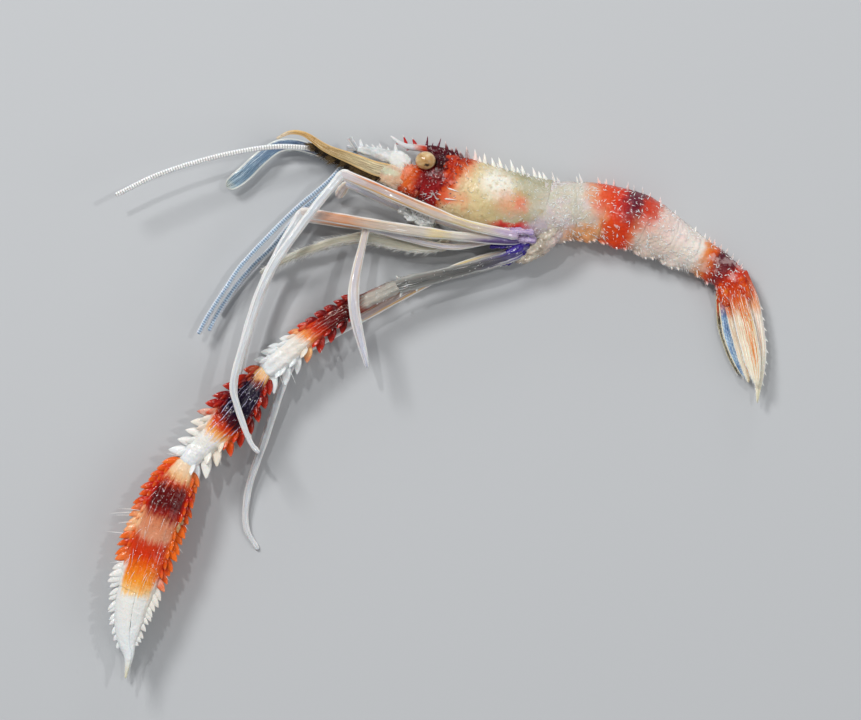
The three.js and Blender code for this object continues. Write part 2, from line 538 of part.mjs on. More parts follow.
// A wedge that holds one finger of a claw: all that lies on one side of the seam, beyond its root.
function fingerRoom(stretch, clearance) {
  const { root, tip, offset } = fingerSeam;
  const outline = new THREE.Shape();
  const seam = [root, 0.7, 0.82, 0.9, tip].map((share) => {
    const { centre, side, along } = frameAt(stretch, Math.min(share, 1));
    centre.addScaledVector(side, offset - clearance).addScaledVector(along, share > 1 ? 1 : 0);
    return centre;
  });
  const { centre, side, along } = frameAt(stretch, root);
  const outer = centre.addScaledVector(side, 4).addScaledVector(along, -0.8 - clearance);
  seam[0].addScaledVector(along, -clearance);
  outline.moveTo(outer.x, outer.y);
  seam.forEach((point) => outline.lineTo(point.x, point.y));
  outline.lineTo(outer.x - 1, seam.at(-1).y);
  const wedge = new THREE.ExtrudeGeometry(outline, { depth: 20, bevelEnabled: false });
  return solidOf(wedge.translate(0, 0, -5));
}

for (const [limb, chain] of Object.entries(limbs)) {
  const [leg] = limb.split('_');
  const joints = jointsOf(chain);
  const limbParts = new THREE.Group();
  for (const { piece, joints: [first, last], girth, finish, rows = [], cut, ...shape } of legPieces[leg]) {
    const own = joints.slice(first, last === -1 ? undefined : last + 1);
    const stretch = stretchThrough(own, shape.startTrim, shape.endTrim);
    const spines = rows.flatMap((row) => spineRow(stretch, girth, row));
    const whole = tube(stretch, girth, shape);
    const link = cut ? cut(whole, (clearance) => fingerRoom(stretch, clearance)) : clearOfCarapace(whole);
    limbParts.add(meshOf(`${limb}_${piece}`, restingOnFloor(joined(link, spines)), finish, own[0]));
  }
  model.add(limbParts);
}

// The origin goes to the middle of the footprint, on the surface that the model lies on.
const box = new THREE.Box3().setFromObject(model);
const middle = box.getCenter(new THREE.Vector3());
model.position.set(-middle.x, -middle.y, -box.min.z);

export default model;
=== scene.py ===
import bpy
import numpy as np
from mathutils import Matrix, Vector


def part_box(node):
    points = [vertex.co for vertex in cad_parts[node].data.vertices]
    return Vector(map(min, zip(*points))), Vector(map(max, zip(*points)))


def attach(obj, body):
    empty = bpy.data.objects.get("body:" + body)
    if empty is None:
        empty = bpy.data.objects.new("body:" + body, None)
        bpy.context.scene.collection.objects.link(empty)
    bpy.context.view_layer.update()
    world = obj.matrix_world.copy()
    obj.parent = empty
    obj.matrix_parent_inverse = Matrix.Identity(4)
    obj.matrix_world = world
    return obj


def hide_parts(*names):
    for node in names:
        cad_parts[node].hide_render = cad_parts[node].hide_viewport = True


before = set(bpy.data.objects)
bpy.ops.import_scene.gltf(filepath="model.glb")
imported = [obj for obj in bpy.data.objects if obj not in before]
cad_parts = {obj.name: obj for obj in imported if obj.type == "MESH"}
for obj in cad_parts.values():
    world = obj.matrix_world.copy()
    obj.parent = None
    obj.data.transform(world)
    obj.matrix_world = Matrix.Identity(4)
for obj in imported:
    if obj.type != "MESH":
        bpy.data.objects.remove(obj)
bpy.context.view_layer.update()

# Banded coral shrimp, lying on its right side, at life size.
# Shapes are drawn in millimetres, +X towards the tail, +Y towards the back, +Z towards the left side.
# A path is where it starts and its links: [length, heading, rise], heading in degrees from +X in
# the XY plane and rise in degrees up from it. A girth is [share of the length, half width across
# the view, half thickness along Z]. A surface is a grid of rings along by points around, closed to
# a pole at both ends, and a patch is count such grids with the values that its paint reads.

mm = 0.001
turn = 2 * np.pi
bodyMiddle = 2.9        # height of the plane between the left side and the right
linkSamples = 40        # points on each link of a path
eye = {"centre": (-0.5, 19.9), "offset": 1.9, "radius": (1.03, 0.92, 0.95), "stalk": 0.55, "stalkRoot": 0.7}

# The eye's place in the frame says where the drawing's origin lies in it.
eyeMiddle = np.mean(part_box("eye_left"), axis=0) / mm
drawingShift = np.array([eyeMiddle[0] - eye["centre"][0], eyeMiddle[1] - eye["centre"][1], 0])


def unit(vectors):
    # Each vector divided by its own length.
    return vectors / np.linalg.norm(vectors, axis=-1, keepdims=True)


def layPath(start, links, first=0, last=None):
    # Joints: each link adds its length along its heading and rise. Between joints runs a
    # Catmull-Rom curve with its knots spaced by the square root of the chords.
    length, heading, rise = np.array(links, float).T
    heading, rise = np.radians(heading), np.radians(rise)
    steps = np.column_stack([np.cos(rise) * np.cos(heading), np.cos(rise) * np.sin(heading), np.sin(rise)])
    joints = np.vstack([start, start + np.cumsum(length[:, None] * steps, axis=0)])[first:last]
    joints = np.vstack([2 * joints[0] - joints[1], joints, 2 * joints[-1] - joints[-2]])
    knots = np.append(0, np.cumsum(np.linalg.norm(np.diff(joints, axis=0), axis=1) ** 0.5))
    pieces = []
    for i in range(1, len(joints) - 2):
        t = np.linspace(knots[i], knots[i + 1], linkSamples)[:, None]
        a = [((knots[k + 1] - t) * joints[k] + (t - knots[k]) * joints[k + 1]) / (knots[k + 1] - knots[k])
            for k in (i - 1, i, i + 1)]
        b = [((knots[k + 2] - t) * a[k - i + 1] + (t - knots[k]) * a[k - i + 2]) / (knots[k + 2] - knots[k])
            for k in (i - 1, i)]
        pieces.append(((knots[i + 1] - t) * b[0] + (t - knots[i]) * b[1]) / (knots[i + 1] - knots[i]))
    points = np.vstack([pieces[0]] + [piece[1:] for piece in pieces[1:]])
    return points + drawingShift


def pathLength(path):
    # The steps between its points, added up.
    return np.linalg.norm(np.diff(path, axis=0), axis=1).sum()


def frameOf(path, distance):
    # Centre, direction along, direction across the view and direction through the thickness,
    # at distances along the path, which runs on straight past its ends.
    distance = np.asarray(distance, float)
    run = np.append(0, np.cumsum(np.linalg.norm(np.diff(path, axis=0), axis=1)))
    slopes = unit(np.gradient(path, axis=0))
    centre = np.stack([np.interp(distance, run, path[:, k]) for k in range(3)], axis=-1)
    along = unit(np.stack([np.interp(distance, run, slopes[:, k]) for k in range(3)], axis=-1))
    beyond = distance - np.clip(distance, 0, run[-1])
    centre = centre + along * beyond[..., None]
    side = unit(np.cross(along, [0, 0, 1]))
    return centre, along, side, np.cross(side, along)


def girthOf(girth, span, distance, ease=0.06):
    # Straight lines between the stations, with their corners rounded by a running mean.
    stations, width, thickness = np.array(girth, float).T
    share = (np.asarray(distance, float) - span[0]) / (span[1] - span[0])
    fine = np.linspace(-0.3, 1.3, 801)
    window = np.hanning(2 + round(ease * 500) * 2)
    window = window / window.sum()
    halves = []
    for value in (width, thickness):
        eased = np.convolve(np.pad(np.interp(fine, stations, value), 100, "edge"), window, "same")[100:-100]
        halves.append(np.interp(share, fine, eased))
    return halves


def ripple(points, size, seed):
    # A smooth random field from -1 to 1: sines along a few random directions, added up.
    random = np.random.default_rng(seed)
    ways = unit(random.normal(size=(9, 3))) * random.uniform(0.7, 1.5, (9, 1))
    phases = random.uniform(0, turn, 9)
    return np.sin(points @ ways.T * turn / size + phases).mean(axis=-1) * 1.8


def tube(path, girth, span, sides=24, rings=60, cap=0.3, relief=None, warp=None, trim=None):
    # Rings carried along the path: centre + across * width * cos(v) + depth * thickness * sin(v).
    # Each end closes as a quarter ellipse as long as its cap. A relief is added to both half axes,
    # a warp slides points along, and a trim changes the across and depth parts themselves.
    caps = cap if isinstance(cap, tuple) else (cap, cap)
    quarter = np.linspace(0, np.pi / 2, 9)
    middle = np.linspace(span[0] + caps[0], span[1] - caps[1], rings)[1:-1]
    distance = np.concatenate([span[0] + caps[0] * (1 - np.cos(quarter)), middle,
        (span[1] - caps[1] * (1 - np.cos(quarter)))[::-1]])
    closing = np.concatenate([np.sin(quarter), np.ones(len(middle)), np.sin(quarter)[::-1]])[:, None]
    angle = np.linspace(0, turn, sides, endpoint=False)[None, :]
    place = distance[:, None] + (0 if warp is None else warp(distance[:, None], angle) * closing)
    place = np.broadcast_to(place, (len(distance), sides))
    centre, along, side, depth = frameOf(path, place)
    width, thickness = girthOf(girth, span, place)
    height = 0 if relief is None else relief(place, angle)
    offset = ((width + height) * np.cos(angle), (thickness + height) * np.sin(angle))
    if trim is not None:
        offset = trim(place, *offset)
    points = centre + side * (offset[0] * closing)[..., None] + depth * (offset[1] * closing)[..., None]
    shape = (1, *place.shape)
    return {"points": points[None], "along": place[None], "across": np.broadcast_to(np.cos(angle), shape),
        "up": np.broadcast_to(np.sin(angle), shape), "tooth": np.zeros(shape), "pale": np.zeros(shape)}


def rootsOn(path, girth, span, distance, angle, lean=0, yaw=0):
    # Places on a tube, and the way each thorn there points: outwards, leaning along by lean
    # degrees and round by yaw degrees.
    distance, angle = np.broadcast_arrays(np.asarray(distance, float), np.asarray(angle, float))
    centre, along, side, depth = frameOf(path, distance)
    width, thickness = girthOf(girth, span, distance)
    cosine, sine = np.cos(np.radians(angle)), np.sin(np.radians(angle))
    base = centre + side * (width * cosine)[..., None] + depth * (thickness * sine)[..., None]
    outward = unit(side * (cosine / width)[..., None] + depth * (sine / thickness)[..., None])
    sideways = np.cross(outward, along)
    lean, yaw = [np.radians(np.broadcast_to(value, distance.shape))[..., None] for value in (lean, yaw)]
    flat = along * np.cos(yaw) + sideways * np.sin(yaw)
    direction = unit(outward * np.cos(lean) + flat * np.sin(lean))
    return {"base": base, "direction": direction,
        "across": unit(np.cross(np.cross(direction, along), direction)),
        "along": distance, "cosine": cosine, "sine": sine}


formOf = {
    "thorn": lambda t: (1 - t) ** 0.85,
    "leaf": lambda t: (1 - t) ** 0.9 * (0.9 + 1.15 * t),
    "petal": lambda t: (0.8 + 1.3 * t) * (1 - t ** 1.35),
    "hair": lambda t: 1 - 0.9 * t,
    "knob": lambda t: np.sqrt(np.clip(1 - t * t, 0, 1)),
}


def thorns(roots, length, width, thickness=None, hook=0, form="thorn", sink=0.2, rings=7, sides=7, pale=0):
    # From each root, rings whose centres run out along a bent line, root + way * t + hook * t * t,
    # and whose half widths follow the form.
    count = len(roots["base"])
    length = np.broadcast_to(length, count).astype(float)
    width = np.broadcast_to(width, count).astype(float)
    thickness = width if thickness is None else np.broadcast_to(thickness, count).astype(float)
    t = np.linspace(0, 1, rings)
    reach = length[:, None] * t - sink * (1 - t)
    bend = (hook * length)[:, None] * t ** 2
    centre = (roots["base"][:, None] + roots["direction"][:, None] * reach[..., None]
        + roots["across"][:, None] * bend[..., None])
    third = np.cross(roots["across"], roots["direction"])
    angle = np.linspace(0, turn, sides, endpoint=False)
    size = formOf[form](t)
    wide = (width[:, None] / 2 * size)[..., None] * np.cos(angle)
    thick = (thickness[:, None] / 2 * size)[..., None] * np.sin(angle)
    points = (centre[:, :, None] + roots["across"][:, None, None] * wide[..., None]
        + third[:, None, None] * thick[..., None])
    shape = points.shape[:3]
    spread = lambda value: np.broadcast_to(np.asarray(value, float)[:, None, None], shape)
    return {"points": points, "along": spread(roots["along"]), "across": spread(roots["cosine"]),
        "up": spread(roots["sine"]), "tooth": np.broadcast_to(t[None, :, None], shape),
        "pale": np.broadcast_to(np.reshape(pale, (-1, 1, 1)), shape)}


def lumpy(patch, *layers):
    # Each layer (size, height, seed) moves the points by three smooth random fields.
    points = patch["points"]
    for size, height, seed in layers:
        fields = [ripple(patch["points"], size, seed + k) for k in range(3)]
        points = points + height * np.stack(fields, axis=-1)
    return {**patch, "points": points}


def ball(centre, radius, rings=40, sides=56):
    # centre + radius * (sin(u) cos(v), sin(u) sin(v), cos(u))
    u = np.linspace(0, np.pi, rings)[:, None]
    v = np.linspace(0, turn, sides, endpoint=False)[None, :]
    shape = (rings, sides)
    away = np.stack([np.sin(u) * np.cos(v), -np.sin(u) * np.sin(v), np.cos(u) * np.ones_like(v)], axis=-1)
    return {"points": (np.array(centre) + drawingShift + away * radius)[None],
        "along": np.broadcast_to(u, shape)[None], "across": away[None, ..., 0], "up": away[None, ..., 2],
        "tooth": np.zeros((1, *shape)), "pale": np.zeros((1, *shape))}


pieceValues = ("along", "across", "up", "tooth", "pale")


def makePiece(name, patches, material, slot, *nodes):
    # Every patch of (count, rings, sides) becomes count closed shapes, with one vertex at each pole.
    vertices, faces, values, total = [], [], {key: [] for key in pieceValues}, 0
    for patch in patches:
        points = patch["points"]
        count, rings, sides = points.shape[:3]
        each = 2 + (rings - 2) * sides
        keep = lambda grid: np.concatenate([grid[:, :1, :1].mean(axis=2),
            grid[:, 1:-1].reshape(count, -1, *grid.shape[3:]), grid[:, -1:, :1].mean(axis=2)], axis=1)
        poles = points.copy()
        poles[:, 0] = points[:, 0].mean(axis=1, keepdims=True)
        poles[:, -1] = points[:, -1].mean(axis=1, keepdims=True)
        vertices.append(keep(poles).reshape(-1, 3))
        for key in values:
            values[key].append(keep(patch[key]).reshape(-1))
        j = np.arange(sides)
        after = (j + 1) % sides
        ring = 1 + np.arange(rings - 3)[:, None] * sides
        quads = np.stack([ring + j, ring + sides + j, ring + sides + after, ring + after],
            axis=-1).reshape(-1, 4)
        end = 1 + (rings - 3) * sides
        first = np.column_stack([np.zeros(sides, int), 1 + j, 1 + after, 1 + after])
        final = np.column_stack([end + j, np.full(sides, each - 1), end + after, end + after])
        starts = total + np.arange(count)[:, None, None] * each
        faces.append((np.vstack([first, quads, final])[None] + starts).reshape(-1, 4))
        total += count * each
    vertices, faces = np.vstack(vertices), np.vstack(faces)
    vertices[:, 2] = np.maximum(vertices[:, 2], 0)      # flat where it lies on the surface
    isTriangle = faces[:, 2] == faces[:, 3]
    corners = faces[~np.column_stack([np.zeros((len(faces), 3), bool), isTriangle])]
    sizes = np.where(isTriangle, 3, 4)
    mesh = bpy.data.meshes.new(name)
    mesh.vertices.add(len(vertices))
    mesh.vertices.foreach_set("co", (vertices * mm).astype(np.float32).reshape(-1))
    mesh.loops.add(len(corners))
    mesh.loops.foreach_set("vertex_index", corners.astype(np.int32))
    mesh.polygons.add(len(faces))
    mesh.polygons.foreach_set("loop_start", np.append(0, np.cumsum(sizes)[:-1]).astype(np.int32))
    mesh.polygons.foreach_set("use_smooth", np.ones(len(faces), bool))
    for key, lists in values.items():
        attribute = mesh.attributes.new(key, "FLOAT", "POINT")
        attribute.data.foreach_set("value", np.concatenate(lists).astype(np.float32))
    mesh.update(calc_edges=True)
    mesh.validate()
    piece = bpy.data.objects.new(name, mesh)
    bpy.context.scene.collection.objects.link(piece)
    mesh.materials.append(material)
    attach(piece, "root")
    if nodes:
        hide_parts(*nodes)


def linear(colour, alpha=1):
    # From red, green and blue out of 255, as seen, to the shader's own values.
    share = np.array(colour, float) / 255
    return (*np.where(share <= 0.04045, share / 12.92, ((share + 0.055) / 1.055) ** 2.4), alpha)


class Growth:
    # A piece on its way: its closed shapes, one stream of random numbers for all of them, and its
    # body, which is the tube that they stand on.
    def __init__(self, seed, *body):
        self.random = np.random.default_rng(seed)
        self.body = body
        self.patches = []

    def shell(self, *layers, **shape):
        # The body's own tube, roughened by the layers.
        self.patches.append(lumpy(tube(*self.body, **shape), *layers))

    def row(self, places, angles, lean=0, yaw=0, **shape):
        # Thorns at distances along the body and degrees round it.
        self.patches.append(thorns(rootsOn(*self.body, places, angles, lean, yaw), **shape))

    def strew(self, low, high, count, length, width, pale=0, lean=60, yaw=40, around=(15, 165), **shape):
        # Small thorns all over both flanks of the body, from low to high along it. Their length is
        # from and to, and so is how far round the body they stand.
        draw = self.random.uniform
        angles = self.random.choice([-1, 1], count) * draw(*around, count)
        places = draw(low, high, count)
        leans = lean + draw(-7, 7, count)
        yaws = draw(-yaw, yaw, count)
        self.row(places, angles, leans, yaws, length=draw(*length, count), width=width, pale=pale,
            **{"hook": 0.2, "sink": 0.06, "rings": 5, "sides": 5, **shape})

    def petals(self, rows):
        # Rows of petal teeth down a margin, as the claw's tables list them.
        draw = self.random.uniform
        low, high = self.body[2]
        for first, last, count, angle, size, width, lean, gain in rows:
            places = low + (high - low) * (np.linspace(first, last, count) + draw(-0.007, 0.007, count))
            sizes = size * (1 + gain * np.linspace(-1, 1, count)) * draw(0.85, 1.1, count)
            self.row(places, angle + draw(-5, 5, count), lean + draw(-6, 6, count), length=sizes,
                width=width * draw(0.88, 1.1, count), thickness=0.3, hook=0.2, form="petal", sink=0.4,
                rings=12, sides=12)

    def bristles(self, shares, angles, length, lean):
        # Long stiff hairs at shares of the body's length.
        low, high = self.body[2]
        self.row(low + (high - low) * np.array(shares), angles, lean, length=length, width=0.09,
            form="hair", hook=0.1, rings=8, sides=5, pale=1)

    def make(self, name, material, slot, *nodes):
        # Its shapes become one piece.
        makePiece(name, self.patches, material, slot, *nodes)


class Paint:
    # It starts with the values that every piece carries: distance along, side, front, height up a
    # thorn and paleness, and with a place along that a soft random field has blurred.
    def __init__(self, name, wave=0.8, sway=1.8):
        self.material = bpy.data.materials.new(name)
        self.material.use_nodes = True
        self.tree = self.material.node_tree
        self.tree.nodes.clear()
        place = self.put("ShaderNodeTexCoord").outputs["Object"]
        self.millimetres = self.put("ShaderNodeMapping",
            {"Vector": place, "Scale": (1 / mm,) * 3}).outputs[0]
        self.along, self.across, self.up, self.tooth, self.pale = [self.put("ShaderNodeAttribute",
            attribute_name=key).outputs["Fac"] for key in pieceValues]
        self.edge = self.maths("ABSOLUTE", self.across)
        self.wander = self.minus(self.noise(wave, 4, 0.6), 0.5)
        self.place = self.plus(self.along, self.times(self.wander, sway))
        self.colour = None

    def put(self, kind, inputs=None, **settings):
        # One shader node: its inputs, each a link or a value, and its settings.
        made = self.tree.nodes.new(kind)
        for key, value in settings.items():
            setattr(made, key, value)
        for key, value in (inputs or {}).items():
            if isinstance(value, bpy.types.NodeSocket):
                self.tree.links.new(value, made.inputs[key])
            else:
                made.inputs[key].default_value = value
        return made

    def maths(self, operation, a, b=0, clamp=False):
        # The operation on a and b.
        return self.put("ShaderNodeMath", {0: a, 1: b}, operation=operation, use_clamp=clamp).outputs[0]

    def plus(self, a, b):
        # a + b
        return self.maths("ADD", a, b)

    def minus(self, a, b):
        # a - b
        return self.maths("SUBTRACT", a, b)

    def times(self, a, b):
        # a * b
        return self.maths("MULTIPLY", a, b)

    def noise(self, scale, detail=3, roughness=0.55, distortion=0, vector=None):
        # Soft noise about 0.5, scale waves to the millimetre.
        inputs = {"Vector": self.millimetres if vector is None else vector, "Scale": scale,
            "Detail": detail, "Roughness": roughness, "Distortion": distortion}
        return self.put("ShaderNodeTexNoise", inputs).outputs["Fac"]

    def fibres(self, alongScale, acrossScale, upScale, scale=2, detail=4, roughness=0.65, distortion=0):
        # Noise drawn out lengthwise, which follows the piece round its bends.
        parts = [self.times(value, size) for value, size in
            ((self.along, alongScale), (self.across, acrossScale), (self.up, upScale))]
        vector = self.put("ShaderNodeCombineXYZ", dict(enumerate(parts))).outputs[0]
        return self.noise(scale, detail, roughness, distortion, vector)

    def cells(self, scale):
        # How far it is to the nearest of scattered points.
        return self.put("ShaderNodeTexVoronoi",
            {"Vector": self.millimetres, "Scale": scale}).outputs["Distance"]

    def remap(self, value, low, high, toLow=0, toHigh=1):
        # From low to high becomes from toLow to toHigh, eased at both ends.
        inputs = {"Value": value, "From Min": low, "From Max": high, "To Min": toLow, "To Max": toHigh}
        return self.put("ShaderNodeMapRange", inputs, interpolation_type="SMOOTHSTEP").outputs[0]

    def clouds(self, low, high, amount, *noise):
        # Up to the amount, where soft noise passes from low to high.
        return self.remap(self.noise(*noise), low, high, 0, amount)

    def streaks(self, low, high, amount, *fibres):
        # The same for fibres.
        return self.remap(self.fibres(*fibres), low, high, 0, amount)

    def band(self, value, low, high, soft):
        # 1 between low and high, fading over both edges.
        return self.times(self.remap(value, low - soft, low + soft),
            self.remap(value, high - soft, high + soft, 1, 0))

    def spot(self, centre, radii, soft=0.5, amount=1, sway=1.4):
        # 1 inside an ellipse in distance along and side, fading over its ragged rim.
        x = self.plus(self.along, self.times(self.wander, sway))
        y = self.plus(self.across, self.times(self.wander, sway * 0.35))
        dx = self.maths("DIVIDE", self.minus(x, centre[0]), radii[0])
        dy = self.maths("DIVIDE", self.minus(y, centre[1]), radii[1])
        away = self.maths("SQRT", self.plus(self.times(dx, dx), self.times(dy, dy)))
        return self.remap(away, 1 - soft, 1 + soft, amount, 0)

    def ramp(self, value, stops):
        # Each stop is its place, in the value's own units, and its red, green and blue.
        low, high = stops[0][0], stops[-1][0]
        share = self.maths("DIVIDE", self.minus(value, low), high - low, clamp=True)
        made = self.put("ShaderNodeValToRGB", {"Fac": share})
        elements = made.color_ramp.elements
        for place, *colour in stops[1:-1]:
            elements.new((place - low) / (high - low))
        for element, (place, *colour) in zip(elements, stops):
            element.position = (place - low) / (high - low)
            element.color = linear(colour)
        return made.outputs["Color"]

    def over(self, colour, *masks, mode="MIX"):
        # One more layer, where the masks multiply to 1.
        mask = masks[0]
        for other in masks[1:]:
            mask = self.times(mask, other)
        made = self.put("ShaderNodeMix", data_type="RGBA", blend_type=mode)
        factor, under, upper = [made.inputs[number] for number in (0, 6, 7)]
        for socket, value in ((factor, mask), (under, self.colour), (upper, colour)):
            if isinstance(value, bpy.types.NodeSocket):
                self.tree.links.new(value, socket)
            else:
                socket.default_value = linear(value) if isinstance(value, tuple) else value
        self.colour = made.outputs[2]

    def cloud(self, scale, dark, light, low=0.36, high=0.64):
        # The first layer: soft noise from the dark colour to the light one.
        self.colour = self.ramp(self.noise(scale, 4, 0.6), [(low, *dark), (high, *light)])

    def glintSpecks(self, scale=2.6, size=0.15, amount=0.85, colour=(250, 248, 240)):
        # Small white specks of uneven size, in patches: painted glints, which stand in for sparkles of
        # light on the wet shell.
        patchy = self.remap(self.noise(0.5, 2), 0.4, 0.6)
        self.over(colour, self.remap(self.cells(scale), size * 0.5, size, amount, 0), patchy)

    def whiten(self, tip=(250, 246, 240), start=0.4, amount=0.7):
        # The outer part of each thorn is paler, and bristles are white from root to tip; on the shell the
        # small white bristles are partly painted glints.
        self.over(tip, self.remap(self.tooth, start, 1, 0, amount))
        self.over((248, 246, 242), self.pale)

    def bump(self, height, distance, strength=0.8):
        # The surface's tilt as if it stood out by height * distance millimetres.
        return self.put("ShaderNodeBump", {"Height": height, "Distance": distance * mm,
            "Strength": strength}).outputs[0]

    def skin(self, depth=0.12, fine=7, coarse=2.2):
        # Shallow waves with a finer grain on them.
        return self.bump(self.plus(self.times(self.noise(fine, 2), 0.14), self.noise(coarse, 2)), depth)

    def finish(self, roughness=0.2, normal=None, coat=0.2, flesh=0.25, clear=0, gloss=None):
        # The wet film on top has waves of its own where gloss is given.
        inputs = {"Base Color": self.colour, "Roughness": roughness, "Coat Weight": coat,
            "Coat Roughness": 0.05, "Specular IOR Level": 0.25, "Subsurface Weight": flesh,
            "Subsurface Radius": (1, 0.5, 0.35), "Subsurface Scale": 0.35 * mm, "IOR": 1.36,
            "Transmission Weight": clear}
        inputs["Normal"] = self.skin() if normal is None else normal
        inputs["Coat Normal"] = inputs["Normal"] if gloss is None else gloss
        shader = self.put("ShaderNodeBsdfPrincipled", inputs)
        self.put("ShaderNodeOutputMaterial", {"Surface": shader.outputs[0]})
        return self.material


trunk = {
    "start": (-0.65, 18.45, 2.9),
    "links": [(2.8, -19, 1), (3.2, -22, 0), (3.6, -14, -1), (3.4, -8, -3), (2.7, 0, -4), (2.5, -4, -1),
        (4.2, -16, 0), (2.7, -27, -6), (3.1, -30, -6), (2.9, -30, -5), (3, -40, -2)],
    "girth": [(0, 2.4, 1.8), (0.6, 2.7, 2.15), (2.8, 3.2, 2.6), (6, 3.4, 2.95), (9.6, 3.3, 2.95),
        (13, 3, 2.75), (15.7, 2.85, 2.55), (22.4, 2.9, 2.5), (25.1, 2.45, 2.25), (28.2, 1.95, 1.85),
        (31.1, 1.65, 1.6), (34.1, 1.4, 1.4)],
    "carapaceEnd": 12.7,
    "ringEnds": [15.5, 18.4, 22.6, 25.6, 28.4, 33.8],
}
back = 180              # degrees round the trunk's section from the belly, with the flanks at 90 and -90
trunkSpan = (0, trunk["girth"][-1][0])
trunkGirth = [(place / trunkSpan[1], width, thickness) for place, width, thickness in trunk["girth"]]
trunkBody = (layPath(trunk["start"], trunk["links"]), trunkGirth, trunkSpan)


def hump(value, middle, reach):
    # A bell curve, 1 at the middle: exp(-((value - middle) / reach) ** 2).
    return np.exp(-((value - middle) / reach) ** 2)


def trunkTube(low, high, scale=None, **shape):
    # A stretch of the trunk between two distances behind the head, with its own scale if given.
    share = np.linspace(0, 1, 14)
    width, thickness = girthOf(trunkGirth, trunkSpan, low + share * (high - low))
    factor = 1 if scale is None else scale(share)
    return tube(trunkBody[0], list(zip(share, width * factor, thickness * factor)), (low, high), **shape)


carapace = {
    "front": -0.35, "rearEdge": 13, "rearBow": 0.35, "groove": 0.16, "swell": 0.10,
    "rough": [(2.2, 0.05, 5), (0.7, 0.03, 8), (0.35, 0.012, 9)],  # size, height, seed
    # Spines down the middle of the back: distance behind the head, and length.
    "spines": [(0.1, 0.7), (1.5, 1.15), (1.95, 0.6), (2.35, 0.75), (2.75, 0.4), (3.3, 1), (4.1, 1),
        (4.6, 0.5), (5.2, 0.95), (6.4, 0.8), (7.3, 1.05), (8.7, 1.15), (9.3, 0.55), (9.9, 0.85),
        (11.2, 0.95), (11.8, 0.7), (12.4, 0.75)],
    "spineLean": -20, "spineWidth": 0.62, "spineScale": 1.1,
    "paleFrom": (2.6, 4.4),  # the spines turn white between these distances
    "besideSpines": (13, 15),  # a row on each side of them: degrees off the middle, how many
    "crest": {"start": (3.6, 19.75, 2.9), "links": [(1.6, 157, 0), (1.6, 162, 0), (1.2, 166, 0)]},
    "crestGirth": [(0, 0.2, 0.5), (0.5, 0.62, 0.6), (0.85, 0.5, 0.5), (1, 0.25, 0.35)],
    # Rows down each side: degrees round, length, and how many.
    "sideRows": [(157, 0.5, 12), (134, 0.42, 11), (112, 0.36, 10), (90, 0.32, 9), (68, 0.32, 9),
        (46, 0.34, 7)],
    # The white rows are partly painted glints: small white bristles that stand in for sparkles of light on
    # the wet shell.
    "strewn": [
        dict(low=0.2, high=7, count=170, length=(0.12, 0.34), width=0.12, lean=-62, around=(10, 176)),
        dict(low=0.3, high=5.5, count=150, length=(0.12, 0.42), width=0.07, lean=-62, around=(10, 176),
            pale=0.95, yaw=80),
        dict(low=5, high=12.8, count=200, length=(0.1, 0.34), width=0.11, pale=0.9, lean=-70, yaw=90),
        dict(low=9, high=12.9, count=140, length=(0.12, 0.3), width=0.08, pale=1, lean=-76, yaw=90),
    ],
    "cornerFan": 11,  # how many pale spines stand in the fan at a lower front corner
}


def carapaceRelief(distance, angle):
    # A groove slants across the shell behind the head, and the shell swells a little between.
    groove = -carapace["groove"] * hump(distance - 4.4 - 1.5 * np.cos(angle), 0, 0.35)
    swell = carapace["swell"] * hump(distance, 7, 2) * np.sin(angle) ** 2
    ridges = 0.03 * np.sin(distance * 3.1 + 2 * np.cos(angle)) * np.sin(3 * angle)
    rim = 0.05 * np.exp(-((distance - carapace["rearEdge"] + 0.15) / 0.12) ** 2)
    return groove + swell + ridges + rim


def clearOfEyes(patch, clearance=0.12):
    # Points inside an eye move out of it, which leaves a socket round it.
    points = patch["points"]
    for sign in (1, -1):
        middle = np.array([*eye["centre"], bodyMiddle + sign * eye["offset"]]) + drawingShift
        reach = np.array(eye["radius"]) + clearance
        away = (points - middle) / reach
        far = np.linalg.norm(away, axis=-1, keepdims=True)
        points = np.where(far < 1, middle + away / np.maximum(far, 1e-6) * reach, points)
    return {**patch, "points": points}


